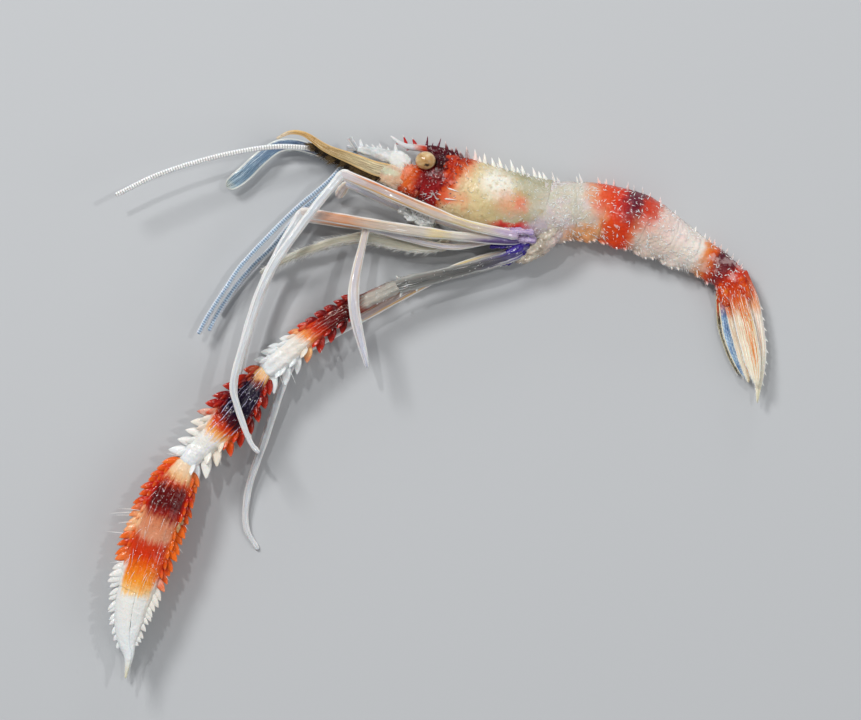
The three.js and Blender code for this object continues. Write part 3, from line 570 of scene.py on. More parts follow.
def makeCarapace(material):
    # The shell with its rear edge bowed, a crest over the eyes, and spines.
    grow = Growth(3, *trunkBody)
    draw = grow.random.uniform
    fade = lambda places: np.interp(places, carapace["paleFrom"], [0, 0.8])
    bow = lambda distance, angle: (carapace["rearBow"] * np.clip((distance - 8) / 5, 0, 1)
        * np.cos(2 * angle))
    shell = trunkTube(carapace["front"], carapace["rearEdge"], sides=120, rings=170, cap=(0.55, 0.1),
        relief=carapaceRelief, warp=bow)
    path = layPath(**carapace["crest"])
    crest = tube(path, carapace["crestGirth"], (0, pathLength(path)), sides=48, rings=50, cap=0.3)
    crest = {**crest, "along": 0 * crest["along"], "across": 0 * crest["across"] - 1}
    grow.patches = [clearOfEyes(lumpy(shell, *carapace["rough"])), lumpy(crest, (0.8, 0.05, 6))]
    places, length = np.array(carapace["spines"]).T
    grow.row(places, back, carapace["spineLean"] + draw(-5, 5, len(places)),
        length=carapace["spineScale"] * length, width=carapace["spineWidth"], hook=-0.12, sink=0.3,
        rings=10, sides=9, pale=fade(places))
    offset, count = carapace["besideSpines"]
    for sign in (1, -1):
        places = np.linspace(0.3, 12.3, count) + draw(-0.3, 0.3, count)
        grow.row(places, back + sign * offset, -28, length=draw(0.35, 0.75, count), width=0.28, hook=-0.15,
            sink=0.25, pale=fade(places))
    for angle, length, count in carapace["sideRows"]:
        for sign in (1, -1):
            places = np.linspace(0.5, 11.8, count) + draw(-0.35, 0.35, count)
            grow.row(places, sign * (angle + draw(-7, 7, count)), -52,
                length=length * draw(0.6, 1.2, count), width=0.18, hook=0.2, pale=0.6 * fade(places))
    for row in carapace["strewn"]:
        grow.strew(**row)
    count = carapace["cornerFan"]
    for sign in (1, -1):                    # the fan, and two clear spines behind it
        places = draw(0.8, 2.3, count)
        around = draw(46, 66, count)
        grow.row(places, sign * around, -62, sign * draw(-70, 50, count), length=draw(0.4, 0.85, count),
            width=0.13, hook=0.15, pale=0.8)
        grow.row([2.75, 2.8], sign * np.array([81, 60]), 74, sign * np.array([4, 24]), length=[1.25, 1.4],
            width=0.22, hook=0.05, sink=0.1, pale=0.9)
    grow.make("carapace_shell", material, "carapace_shell", "carapace")


rostrum = {
    "start": (1.2, 20.6, 2.9),
    "links": [(1.9, 163, 0), (2, 171, 0), (1.7, 146, 0)],
    "girth": [(0, 0.42, 0.42), (0.4, 0.36, 0.34), (0.7, 0.28, 0.22), (1, 0.09, 0.1)],
    # Teeth: distance from the root, length, width, lean.
    "upperTeeth": [(0.65, 1.2, 0.34, -6), (1.2, 0.5, 0.26, 0), (1.75, 1.05, 0.36, 2), (2.85, 0.8, 0.5, 24),
        (3.85, 0.95, 0.42, 34)],
    "lowerTeeth": [(3.5, 0.3, 0.3, 50), (4.6, 0.25, 0.26, 50)],
}


def makeRostrum(material):
    # A round tapering blade, with thorns above and below.
    path = layPath(rostrum["start"], rostrum["links"])
    grow = Growth(0, path, rostrum["girth"], (0, pathLength(path)))
    grow.shell(sides=24, rings=60, cap=0.15)
    for rows, angle in ((rostrum["upperTeeth"], 0), (rostrum["lowerTeeth"], 180)):
        places, length, width, lean = np.array(rows).T
        grow.row(places, angle, lean, length=length, width=width, thickness=0.22, hook=0.12, sink=0.25,
            rings=10, sides=9)
    grow.make("rostrum_blade", material, "rostrum_shell", "rostrum")


abdomen = {
    "flare": 0.006, "lip": 0.018, "folds": 0.03, "groove": 0.03,
    "overlap": 0.45, "firstOverlap": 0.6,  # how far a ring reaches under the shell in front
    "flap": 0.5, "lastFlap": 0.25,  # how far a ring's lower flap stands out, and the last ring's
    "bow": 0.3, "lastBow": 0.4,  # how far the rear edge reaches back on the flanks, and its share there
    "flapTeeth": [(0.26, 0.5), (0.5, 0.8), (0.76, 0.6)],  # share of the ring's length, and length
    # Spines down the back: distance behind the head, and length.
    "spines": [(13.5, 0.85), (14, 0.4), (15.9, 0.5), (16.3, 0.8), (17.8, 0.55), (18.3, 0.5), (18.95, 0.6),
        (20.25, 0.65), (20.9, 0.5), (21.7, 0.6), (22.3, 0.4), (23.25, 0.45), (25, 0.3), (27.6, 0.35),
        (28.8, 0.4), (29.4, 0.4), (30, 0.45), (30.6, 0.45), (31.2, 0.5), (31.9, 0.45), (32.6, 0.45),
        (33.2, 0.4)],
    "spineScale": 1.25, "spineRows": [(0, 1), (13, 0.6), (-13, 0.6)],  # degrees off the middle, and share
    # How many white bristles each ring has; their white is partly painted glints of light on the wet shell.
    "bristles": [250, 200, 200, 200, 120, 130],
    "bellyHairs": 60,
}


def makeAbdomenRing(number, low, high, material):
    # A stretch of the trunk whose rear edge is bowed, with spines on the back and a flap on each side.
    grow = Growth(20 + number, *trunkBody)
    length = high - low
    last = number == len(trunk["ringEnds"])

    def relief(distance, angle):
        # A flap at each lower corner, a groove across the ring, a thickened rear lip and folds.
        share = (distance - low) / length
        fromBelly = np.abs((angle + np.pi) % turn - np.pi)
        flap = abdomen["lastFlap" if last else "flap"] * hump(fromBelly, 0.34, 0.3)
        flap = flap * hump(share, 0.52, 0.26)
        folds = abdomen["folds"] * np.sin(9 * share + 3 * np.cos(angle) + number) * np.sin(angle) ** 2
        groove = abdomen["groove"] * hump(share, 0.24, 0.06)
        return flap - groove + abdomen["lip"] * hump(share, 0.95, 0.05) + folds

    bow = lambda distance, angle: (abdomen["bow"] * np.clip((distance - low) / length, 0, 1)
        * (np.sin(angle) ** 2 - 0.5) * (abdomen["lastBow"] if last else 1))
    scale = lambda share: 1 - abdomen["flare"] + 2 * abdomen["flare"] * share
    ring = trunkTube(low - abdomen["overlap" if number > 1 else "firstOverlap"], high + 0.1, scale,
        sides=104, rings=80, cap=(0.2, 0.09), relief=relief, warp=bow)
    grow.patches = [lumpy(ring, (1.5, 0.045, 30 + number), (0.5, 0.03, 40 + number),
        (0.3, 0.012, 50 + number))]
    places, size = np.array([spine for spine in abdomen["spines"] if low <= spine[0] < high]).T
    for offset, share in abdomen["spineRows"]:
        grow.row(places + grow.random.uniform(-0.1, 0.1, len(places)), back + offset, -12,
            length=abdomen["spineScale"] * size * share, width=0.32, hook=-0.1, sink=0.25, pale=0.5)
    places, size = np.array(abdomen["flapTeeth"]).T
    for sign in (1, -1):
        grow.row(low + length * places, sign * 22, 25, length=size, width=0.5, thickness=0.24, hook=0.12,
            form="leaf", sink=0.25)
    # White bristles over the flanks, partly painted glints of light on the wet shell.
    grow.strew(low + 0.15, high - 0.1, abdomen["bristles"][number - 1], (0.12, 0.5), 0.12, pale=0.95,
        lean=68, yaw=100, around=(28, 162))
    grow.strew(low, high, abdomen["bellyHairs"], (0.2, 0.6), 0.09, pale=0.8, lean=35, yaw=60,
        around=(3, 42))
    grow.make(f"abdomen_ring_{number}", material, "abdomen_shell", f"abdomen_{number}")


swimmers = {
    "firstPath": ((13, 14), [(1.7, -124), (1.6, -132), (1.5, -142), (1.5, -152)]),
    "firstGirth": [(0, 0.8, 0.8), (0.25, 1.05, 0.85), (0.55, 0.95, 0.75), (0.8, 0.62, 0.5), (1, 0.2, 0.2)],
    "firstHeight": 1.15, "firstTeeth": 9, "firstBristles": 70,
    # The blades under each ring: distance from its front, degrees round, lean, share of the length.
    "blades": [(0.5, 14, 40, 0.7), (1.1, 18, 55, 1), (1.7, 22, 62, 0.9)], "length": 0.85, "width": 0.6,
    "hairs": 24,
}


def makeFirstSwimmers(material):
    # The first pair folds forwards under the body: two crumpled lobes, each with a ragged edge.
    grow = Growth(51)
    draw = grow.random.uniform
    count = swimmers["firstTeeth"]
    for sign in (1, -1):
        start, links = swimmers["firstPath"]
        height = bodyMiddle + sign * swimmers["firstHeight"]
        path = layPath((*start, height), [(length, heading, -2 * sign) for length, heading in links])
        grow.body = (path, swimmers["firstGirth"], (-0.3, pathLength(path)))
        folds = lambda distance, angle: 0.05 * np.sin(6 * angle + 2.6 * distance) * np.sin(angle) ** 2
        grow.shell((1.3, 0.08, 60), (0.5, 0.05, 63), sides=80, rings=90, cap=0.4, relief=folds)
        grow.row(np.linspace(1.6, 6, count) + draw(-0.2, 0.2, count), 0, draw(10, 60, count),
            length=draw(0.25, 0.45, count), width=0.4, thickness=0.2, form="leaf")
        grow.strew(0.5, 6, swimmers["firstBristles"], (0.12, 0.4), 0.09, pale=0.9, lean=72, yaw=80)
    grow.make("swimming_legs_1", material, "abdomen_shell")


def makeSwimmers(number, low, high, material):
    # Small two-bladed swimming legs tucked in under a ring, with a few bristles.
    grow = Growth(50 + number, *trunkBody)
    grow.strew(low + 0.3, high - 0.2, swimmers["hairs"], (0.25, 0.5), 0.06, pale=1, lean=15, yaw=60,
        around=(4, 40), form="hair")
    places, around, lean, share = np.array(swimmers["blades"]).T
    for sign in (1, -1):
        grow.row(low + places, sign * around, lean, length=swimmers["length"] * share,
            width=swimmers["width"], thickness=0.35, hook=0.2, form="leaf", rings=12, sides=12, sink=0.35)
    grow.make(f"swimming_legs_{number}", material, "abdomen_shell")


tailFan = {
    "telson": {
        "start": (31.2, 8, 1.6), "links": [(2.2, -66, 0), (2.8, -78, 0), (2.7, -82, 0), (4.9, -93, 0)],
        "girth": [(0, 0.95, 0.75), (0.2, 0.88, 0.62), (0.45, 0.8, 0.5), (0.65, 0.66, 0.42),
            (0.8, 0.48, 0.32), (1, 0.06, 0.1)],
        "paint": "telson", "marginTeeth": 8, "ribs": 3,
    },
    "uropod_left_outer": {
        "start": (30.5, 7.2, 2.7), "links": [(4.1, -75, 0), (3.6, -78, 0), (2.4, -80, 0)],
        "girth": [(0, 0.6, 0.34), (0.15, 0.9, 0.3), (0.5, 0.98, 0.22), (0.75, 0.84, 0.18),
            (0.92, 0.45, 0.14), (1, 0.1, 0.1)],
        "paint": "uropod", "marginTeeth": 0, "ribs": 5,
    },
    "uropod_left_inner": {
        "start": (29.9, 6.7, 2.05), "links": [(4.2, -77, 0), (2.8, -76, 0), (2.2, -80, 0)],
        "girth": [(0, 0.5, 0.34), (0.2, 0.7, 0.26), (0.75, 0.64, 0.18), (0.9, 0.36, 0.14), (1, 0.08, 0.1)],
        "paint": "uropod", "marginTeeth": 0, "ribs": 3,
    },
    "uropod_right_inner": {
        "start": (29.4, 6.3, 1.2), "links": [(3.7, -82, 0), (2.1, -71, 0), (2.7, -68, 0)],
        "girth": [(0, 0.45, 0.3), (0.2, 0.56, 0.24), (0.75, 0.54, 0.16), (0.92, 0.34, 0.12),
            (1, 0.08, 0.1)],
        "paint": "blueBlade", "marginTeeth": 0, "ribs": 3,
    },
    "uropod_right_outer": {
        "start": (29.1, 6, 0.5), "links": [(2.5, -86, 0), (2.3, -73, 0), (3, -69, 0)],
        "girth": [(0, 0.4, 0.28), (0.2, 0.42, 0.24), (0.75, 0.4, 0.16), (0.92, 0.26, 0.12), (1, 0.08, 0.1)],
        "paint": "oliveBlade", "marginTeeth": 0, "ribs": 2,
    },
}
# The swollen root of the fan and the plates on it: start, heading, length, half width, half thickness.
tailBase = [((29.9, 8.7, 1.95), -70, 3.5, 1.6, 1), ((30.7, 8.2, 2.5), -70, 2.7, 0.85, 0.5),
    ((29.4, 7.7, 2.4), -80, 2.3, 0.7, 0.42), ((29.2, 7.4, 1.1), -84, 2, 0.6, 0.5)]

tailBlade = {
    "root": -0.9,  # how far it reaches back into the last ring
    "ribDepth": 0.035, "fineRibDepth": 0.015,
    "marginTooth": (0.38, 0.26),  # length, width
    "hairs": 130, "innerShare": 0.75,  # hairs on both margins, and the share of them on the inner one
    "hairLength": (0.15, 0.32), "hairWidth": 0.045,
}


def makeTailBlade(name, settings, material):
    # A flat tube with lengthwise ribs, teeth on one margin and hairs on both.
    path = layPath(settings["start"], settings["links"])
    ribs = settings["ribs"]
    tip = pathLength(path)
    grow = Growth(len(name), path, settings["girth"], (tailBlade["root"], tip))
    draw = grow.random.uniform

    def relief(distance, angle):
        # Ribs as cosines of the place across, which wander a little, and finer ones between.
        wander = 0.5 * np.sin(distance * 0.9 + ribs)
        return (tailBlade["ribDepth"] * np.cos(ribs * turn * np.cos(angle) + wander)
            + tailBlade["fineRibDepth"] * np.cos(ribs * 2.5 * turn * np.cos(angle)
            + 2 * wander)) * np.sin(angle) ** 2

    grow.shell(sides=120, rings=90, cap=0.3, relief=relief)
    if settings["marginTeeth"]:
        length, width = tailBlade["marginTooth"]
        grow.row(np.linspace(0.25 * tip, 0.84 * tip, settings["marginTeeth"]), 180, 58, length=length,
            width=width, thickness=0.18, hook=-0.1)
    count = tailBlade["hairs"]
    margins = np.where(draw(size=count) < tailBlade["innerShare"], 0, 180)
    grow.row(draw(0.3 * tip, 0.99 * tip, count), margins, draw(60, 78, count),
        length=draw(*tailBlade["hairLength"], count), width=tailBlade["hairWidth"], form="hair", rings=4,
        sides=4, pale=0.9)
    grow.strew(-0.4, 3.4, 36, (0.15, 0.4), 0.1, pale=0.6, lean=66, yaw=15, around=(40, 140))
    grow.make(f"{name}_blade", material, "tail_fan", name)


def makeTailBase(material):
    # Rounded plates between the last ring and the blades, ribbed lengthwise.
    grow = Growth(71)
    for start, heading, length, wide, thick in tailBase:
        path = layPath(start, [(length / 2, heading, 0), (length / 2, heading - 4, 0)])
        girth = [(0, wide * 0.8, thick * 0.8), (0.45, wide, thick), (0.8, wide * 0.92, thick * 0.7),
            (1, wide * 0.7, thick * 0.3)]
        grow.body = (path, girth, (-0.3, length))
        ribs = lambda distance, angle: (0.03 * np.cos(7 * turn * np.cos(angle) * wide) * np.sin(angle) ** 2
            * np.clip(distance - 0.8, 0, 1))
        grow.shell((0.9, 0.06, 72), (0.4, 0.025, 75), sides=80, rings=60, cap=0.55, relief=ribs)
        grow.strew(0, 0.9 * length, 34, (0.15, 0.45), 0.1, pale=0.75, lean=66, yaw=50)
    grow.make("tail_base_knuckles", material, "tail_fan")


def makeEye(side, sign, material, stalkMaterial):
    # A ball on a short stalk that widens towards the head.
    middle = np.array([*eye["centre"], bodyMiddle + sign * eye["offset"]])
    makePiece(f"eye_{side}_ball", [ball(middle, np.array(eye["radius"]))], material, "eye", f"eye_{side}")
    path = layPath(middle + [0, 0, -sign * 1.5], [(1, -60, sign * 55), (0.6, -40, sign * 70)])
    girth = [(0, eye["stalk"], eye["stalk"]), (1, eye["stalkRoot"], eye["stalkRoot"])]
    stalk = tube(path, girth, (0, pathLength(path)), sides=28, rings=20, cap=0.1)
    makePiece(f"eye_{side}_stalk", [stalk], stalkMaterial, "carapace_shell")


# What each piece is, where it starts, its links, and a scale's girth.
head = {
    "antenna_base_left": ("base", (-0.9, 17.5, 4), [(2.3, 158, 0)]),
    "antenna_base_right": ("base", (-1, 17.6, 1.75), [(2.2, 157, 1)]),
    "antennule_left": ("antennule", (-2.4, 19.7, 3.55), [(1.6, 159, 2), (1.7, 164, 0), (1.7, 169, 0)]),
    "antennule_right": ("antennule", (-2.5, 19.7, 2.3), [(1.5, 156, 0), (1.8, 164, 0), (1.6, 171, 0)]),
    "antennule_left_outer": ("stump", (-7.3, 21, 3.6), [(1.2, 123, 5), (0.3, 123, 0)]),
    "antennule_left_inner": ("stump", (-7.3, 21.1, 3.5), [(0.9, 172, -5), (0.2, 172, 0)]),
    "antennule_right_outer": ("blueStrand", (-7.4, 20.9, 2.3),
        [(3.9, -127, -3), (3.9, -139, -5), (4.8, -129, -2), (3, -136, -1), (2.7, -130, 0), (3.6, -123, 0),
            (1.6, -116, 0)]),
    "antennule_right_inner": ("blueStrand", (-7.4, 21, 2.8),
        [(4.3, -132, 5), (3.6, -140, 0), (3.8, -136, -3), (4.9, -133, -3), (2.1, -124, -3), (3.9, -123, -5),
            (1.9, -118, -2)]),
    "antennal_scale_left": ("goldScale", (-3, 18.7, 3.6), [(2.6, 171, 24), (2.7, 158, 0), (2.7, 158, 0),
            (2.8, 148, 0), (1.3, 175, -2), (1.5, -156, -4)],
        [(0, 0.5, 0.22), (0.1, 0.72, 0.26), (0.19, 0.76, 0.26), (0.38, 0.62, 0.24), (0.58, 0.42, 0.2),
            (0.69, 0.35, 0.18), (0.79, 0.24, 0.15), (0.885, 0.2, 0.14), (1, 0.08, 0.08)]),
    "antennal_scale_right": ("blueScale", (-3.1, 18.9, 1.2), [(2.5, 173, 0), (3.2, 164, 0), (3.4, 161, 2),
            (2.2, 168, 7), (1.5, -169, 4), (2.4, -143, 3), (1.8, -136, -1), (1.4, -142, 1),
            (0.8, -147, -1)], [(0, 0.5, 0.22), (0.08, 0.8, 0.26), (0.3, 0.7, 0.22), (0.5, 0.52, 0.18),
            (0.6, 0.6, 0.16), (0.72, 0.7, 0.15), (0.88, 0.8, 0.15), (0.95, 0.78, 0.14), (0.985, 0.6, 0.12),
            (1, 0.4, 0.08)]),
    "antenna_left": ("whiteStrand", (-11.2, 21.1, 3.9), [(4, 177, 6), (4.2, -172, 7), (4.3, -166, 5),
            (4.4, -161, 3), (4.2, -154, -2)]),
    "antenna_right": ("blueStrand", (-6.3, 19.1, 1.9), [(3.6, -160, -6), (4.2, -139, -6), (4.9, -130, -3),
            (3.3, -132, -1), (2.8, -129, -1), (2.4, -123, -1)]),
    "mouthparts_left": ("mouth", (0.2, 13.7, 4.6), [(3.3, 153, 0)]),
    "mouthparts_right": ("mouth", (0.3, 13.6, 1.3), [(3.4, 154, 1)]),
}
headGirth = {
    "base": [(0, 1.25, 0.7), (0.3, 1.65, 0.95), (0.7, 1.55, 0.9), (1, 1.05, 0.6)],
    "stalk": [(0, 1.1, 0.7), (0.25, 1.15, 0.75), (0.5, 0.98, 0.62), (0.75, 0.72, 0.42), (1, 0.3, 0.16)],
    "antennule": [(0, 0.5, 0.4), (0.12, 0.8, 0.55), (0.24, 0.92, 0.6), (0.4, 0.68, 0.5), (0.65, 0.5, 0.42),
        (0.85, 0.42, 0.36), (1, 0.3, 0.28)],
    "stump": [(0, 0.25, 0.25), (0.8, 0.27, 0.27), (1, 0.33, 0.33)],
    "blueStrand": [(0, 0.25, 0.25), (1, 0.22, 0.22)],
    "whiteStrand": [(0, 0.25, 0.25), (1, 0.23, 0.23)],
    "mouth": [(0, 0.5, 0.38), (0.3, 0.85, 0.5), (0.8, 0.75, 0.45), (1, 0.35, 0.25)],
}
strandRings = 0.26      # length of one ring of a feeler


antennaBase = {
    "rough": [(1.3, 0.12, 75), (0.6, 0.06, 78), (0.3, 0.02, 79)],
    "teeth": [0.4, 0.5, 0.45, 0.6],  # lengths of the leaf teeth on the lower margin
    "stalkStart": (-2.6, 17.95, 1.05),  # its height is from the body's middle plane
    "stalkLinks": [(1.6, 161, 4), (1.7, 160, 8), (1.8, 158, 4)],
    "stalkRough": [(1.1, 0.06, 81), (0.5, 0.03, 84)],
}


def makeAntennaBase(name, path, material, stalkMaterial):
    # A cheek plate with a slanting crease and a thick front rim.
    end = pathLength(path) + 0.25
    grow = Growth(11, path, headGirth["base"], (-0.4, end))
    crease = lambda distance, angle: (0.05 * np.sin(3 * angle + 2 * distance)
        - 0.15 * hump(distance - 1.5 + 1.1 * np.cos(angle), 0, 0.13)
        + 0.06 * hump(distance - end + 0.28, 0, 0.09))
    plate = tube(*grow.body, sides=96, rings=80, cap=0.5, relief=crease)
    grow.patches = [clearOfEyes(lumpy(plate, *antennaBase["rough"]))]
    grow.strew(0, end, 60, (0.12, 0.32), 0.13, lean=52, yaw=30, around=(5, 175))
    grow.strew(0, end, 46, (0.1, 0.3), 0.07, pale=0.9, lean=70, yaw=90, around=(5, 175))
    grow.row(np.linspace(0.9, end - 0.1, 4), 180, 45, length=antennaBase["teeth"], width=0.3,
        thickness=0.22, hook=0.1, form="leaf")
    grow.make(f"{name}_shell", material, "antenna_base_shell", name)
    # The tapering stalk in front of it, which bears the scale, with a fold across and fine ribs.
    sign = 1 if name.endswith("left") else -1
    x, y, rise = antennaBase["stalkStart"]
    path = layPath((x, y, bodyMiddle + sign * rise), antennaBase["stalkLinks"])
    end = pathLength(path)
    stalk = Growth(grow.random, path, headGirth["stalk"], (-0.3, end))
    folds = lambda distance, angle: (-0.05 * hump(distance - 1.9 + 0.9 * np.cos(angle), 0, 0.3)
        + 0.02 * np.cos(5 * turn * np.cos(angle)) * np.sin(angle) ** 2)
    stalk.shell(*antennaBase["stalkRough"], sides=88, rings=80, cap=(0.5, 0.7), relief=folds)
    stalk.strew(0, end, 50, (0.12, 0.34), 0.08, pale=0.85, lean=68, yaw=50, around=(5, 175))
    stalk.make(f"{name}_stalk", stalkMaterial, "antenna_base_shell")


antennule = {
    "joints": [1.7, 3.5],  # distances of the grooves between its segments
    # Spikes above: distance, length, width, lean.
    "spikes": [(1.4, 0.7, 0.55, 20), (2.1, 0.32, 0.35, 25), (2.8, 0.55, 0.35, 28), (3.1, 0.3, 0.35, 30),
        (3.5, 0.45, 0.35, 34), (4.15, 0.32, 0.45, 30), (4.75, 0.75, 0.6, 12)],
}


def makeAntennule(name, path, material):
    # Three segments in a row, with a groove between each two, and spikes.
    end = pathLength(path) + 0.2
    grow = Growth(12, path, headGirth["antennule"], (-0.5, end))
    first, last = antennule["joints"]
    relief = lambda distance, angle: (-0.05 * hump(distance, first, 0.15)
        - 0.05 * hump(distance, last, 0.15) + 0.02 * np.sin(5 * angle + 2 * distance))
    grow.shell((0.9, 0.03, 90), (0.4, 0.015, 93), sides=64, rings=90, cap=0.3, relief=relief)
    places, length, width, lean = np.array(antennule["spikes"]).T
    grow.row(places, 0, lean, length=length, width=width, thickness=0.24, hook=0.15, sink=0.35, rings=12,
        sides=12)
    grow.strew(0.2, end, 20, (0.1, 0.24), 0.08, lean=62, yaw=30, around=(20, 160))
    grow.make(f"{name}_stalk", material, "antennule_shell", name)


def makeStrand(name, path, kind, material):
    # A feeler: a thin tube that swells once in every ring. A stump is smooth.
    length = pathLength(path)
    ringed = kind != "stump"
    wave = lambda distance, angle: (0 * angle
        + 0.02 * ringed * np.abs(np.sin(np.pi * distance / strandRings)) ** 0.5)
    rings = int(8 * length / strandRings) if ringed else 60
    grow = Growth(0, path, headGirth[kind], (-0.3 if ringed else 0, length))
    grow.shell(sides=16, rings=rings, cap=0.1, relief=wave)
    grow.make(f"{name}_strand", material, "flagellum", name)


scaleEdge = {
    # The fringe on the lower margin: how many hairs, from and to, in distances or in shares of the
    # blade's length, their length, and tufts as distance, lean and length.
    "goldScale": {"hairs": 620, "along": (2, 9.4), "shares": False, "length": (0.75, 1.35), "cap": 0.25,
        "tufts": [(2.6, 20, 0.4), (2.85, 30, 0.6), (3.15, 35, 0.65), (3.5, 30, 0.5), (3.8, 40, 0.6)]},
    "blueScale": {"hairs": 90, "along": (0.3, 0.6), "shares": True, "length": (0.2, 0.35), "cap": 0.5,
        "tufts": []},
}


def makeScale(name, kind, path, girth, material, marginMaterial):
    # A long flat blade with lengthwise ribs and a thicker edge, and a piece of its own for the fringe.
    end = pathLength(path)
    grow = Growth(13, path, girth, (-0.4, end))
    draw = grow.random.uniform
    edge = scaleEdge[kind]
    relief = lambda distance, angle: (0.016 * np.cos(11 * np.pi * np.cos(angle) + 0.6 * np.sin(distance))
        * np.sin(angle) ** 2 + 0.03 * hump(np.abs(np.cos(angle)), 0.9, 0.08))
    grow.shell(sides=110, rings=130, cap=(0.25, edge["cap"]), relief=relief)
    grow.make(f"{name}_blade", material, name, name)
    grow.patches = []
    count = edge["hairs"]
    measure = end if edge["shares"] else 1
    low, high = edge["along"]
    grow.row(draw(low * measure, high * measure, count), 180 + draw(-14, 14, count),
        draw(22, 66, count), length=draw(*edge["length"], count), width=0.1, form="hair", rings=5, sides=4,
        hook=0.15)
    if edge["tufts"]:                       # thick dark tufts at its root end
        places, lean, length = np.array(edge["tufts"]).T
        grow.row(places, 180, lean, length=length, width=0.3, thickness=0.2, form="leaf", rings=8, sides=8)
    grow.make(f"{name}_fringe", marginMaterial, name)


def makeMouthparts(name, path, material):
    # Crumpled clear plates that lie over each other.
    end = pathLength(path) + 0.1
    grow = Growth(14, path, headGirth["mouth"], (-0.2, end))
    draw = grow.random.uniform
    grow.shell((0.9, 0.1, 1), (0.4, 0.06, 4), sides=80, rings=90, cap=0.3)
    count = 22
    grow.row(draw(0, end, count), draw(-120, 150, count), 80, draw(-60, 60, count),
        length=draw(0.45, 0.9, count), width=0.7, thickness=0.16, form="petal", hook=0.2, rings=10,
        sides=10)
    grow.make(f"{name}_plates", material, "mouthparts_shell", name)


# Where each limb starts, and its links.
limbs = {
    "maxilliped_left": ((1.7, 12.2, 3.4), [(1.4, -141, -11), (7.6, 172, 2), (3.2, -168, 4), (4.3, -160, 0),
            (3.2, -152, -2)]),
    "maxilliped_right": ((1.7, 11.4, 1.8), [(1.1, -174, -3), (7.5, 173, 0), (3.3, -170, 0), (4.2, -162, -3),
            (2.9, -153, -4)]),
    "leg1_left": ((4.7, 12.5, 3.9), [(5.1, 160, -5), (3.1, 163, 3), (5.9, 155, 8), (2.4, -128, -49)]),
    "leg1_right": ((4.8, 12.7, 1.4), [(5.4, 154, 1), (5.5, 157, -1), (2.4, 176, -5)]),
    "leg2_left": ((6.2, 11.9, 3.7), [(4.3, -172, 5), (8.6, 167, 4), (7.4, -100, 14), (6.9, -79, -1)]),
    "leg2_right": ((6.3, 12, 1.2), [(4.3, 179, -1), (6.6, 170, -1), (3.7, 168, 0), (4.7, 172, 0)]),
    "leg3_left": ((9.7, 11.3, 3.9), [(1.9, -151, 9), (11.8, -165, 3), (7.5, -153, 1), (8.2, -142, 0),
            (5.9, -127, 1), (6.2, -135, 0), (5.1, -115, -1), (5.3, -110, 0), (5.2, -107, 0), (3.2, -97, -1),
            (1.6, -83, 0), (2.3, -99, 0)]),
    "leg3_right": ((9.6, 11.2, 1.5), [(1.8, -151, -10), (11.8, -166, 0), (7.6, -152, 0), (8.2, -142, 0),
            (5.9, -127, 0), (6.2, -135, 0), (5.2, -116, 0), (5.4, -110, 0), (5.2, -107, -1), (3.2, -96, -1),
            (1.6, -84, -1), (2.4, -98, 0)]),
    "leg4_left": ((9.6, 12.1, 3.9), [(2, -176, 21), (7.7, 175, 6), (13.1, 171, 4), (3.6, -121, 4),
            (5.1, -116, 3), (5, -108, 1), (5.2, -102, 0), (2.3, -79, -4), (3.2, -69, -3)]),
    "leg4_right": ((9.5, 12, 2.1), [(1.7, 179, 0), (7.7, 176, 1), (13, 172, 1), (3.5, -123, 4),
            (4.9, -116, 2), (5, -108, 2), (5.2, -101, 0), (2.3, -81, -1), (2.9, -72, 0)]),
    "leg5_left": ((8.5, 12.4, 5.2), [(5.5, 167, 10), (13, 158, 7), (5, -129, 2), (7.6, -124, 1),
            (6.1, -110, -1), (5.3, -105, -1), (1.8, -78, -2), (4.2, -70, -3), (1.1, -51, -4)]),
    "leg5_right": ((9, 11, 2.6), [(6.8, -164, 2), (17.6, -152, 1), (2.6, -120, -3), (6.7, -109, -9),
            (6.1, -108, -9), (3.6, -92, -8), (2.3, -62, -5)]),
}
limbGirth = {
    "maxillipedArm": [(0, 0.3, 0.3), (0.15, 0.45, 0.35), (0.5, 0.68, 0.4), (0.95, 0.58, 0.35),
        (1, 0.42, 0.3)],
    "maxillipedTip": [(0, 0.42, 0.3), (0.6, 0.38, 0.28), (0.9, 0.3, 0.24), (1, 0.18, 0.18)],
    "slenderArm": [(0, 0.25, 0.24), (0.3, 0.29, 0.27), (1, 0.33, 0.28)],
    "slenderHand": [(0, 0.3, 0.28), (0.25, 0.42, 0.34), (0.5, 0.56, 0.4), (0.75, 0.5, 0.34),
        (0.93, 0.3, 0.24), (1, 0.12, 0.14)],
    "longArm": [(0, 0.38, 0.35), (0.1, 0.5, 0.42), (0.38, 0.42, 0.38), (0.42, 0.55, 0.45),
        (0.97, 0.53, 0.4), (1, 0.42, 0.36)],
    "longShank": [(0, 0.42, 0.34), (0.5, 0.38, 0.33), (0.92, 0.28, 0.26), (1, 0.16, 0.16)],
    "ischium": [(0, 0.45, 0.42), (0.08, 0.6, 0.5), (0.6, 0.6, 0.5), (0.92, 0.75, 0.6), (1, 0.6, 0.5)],
    "merus": [(0, 0.55, 0.48), (0.06, 0.75, 0.6), (0.35, 0.88, 0.72), (0.75, 1.1, 0.85), (0.9, 1.2, 0.92),
        (1, 0.75, 0.6)],
    "carpus": [(0, 0.65, 0.55), (0.12, 1, 0.75), (0.27, 1.5, 1), (0.45, 1.8, 1.12), (0.6, 1.7, 1.05),
        (0.74, 1.25, 0.9), (0.92, 1.05, 0.8), (1, 0.75, 0.6)],
    "hand": [(0, 0.85, 0.6), (0.04, 1.2, 0.8), (0.12, 1.8, 1.05), (0.27, 2.12, 1.22), (0.42, 2.1, 1.18),
        (0.58, 1.88, 1), (0.67, 1.68, 0.9), (0.77, 1.36, 0.72), (0.83, 0.98, 0.58), (0.9, 0.46, 0.36),
        (1, 0.06, 0.08)],
}
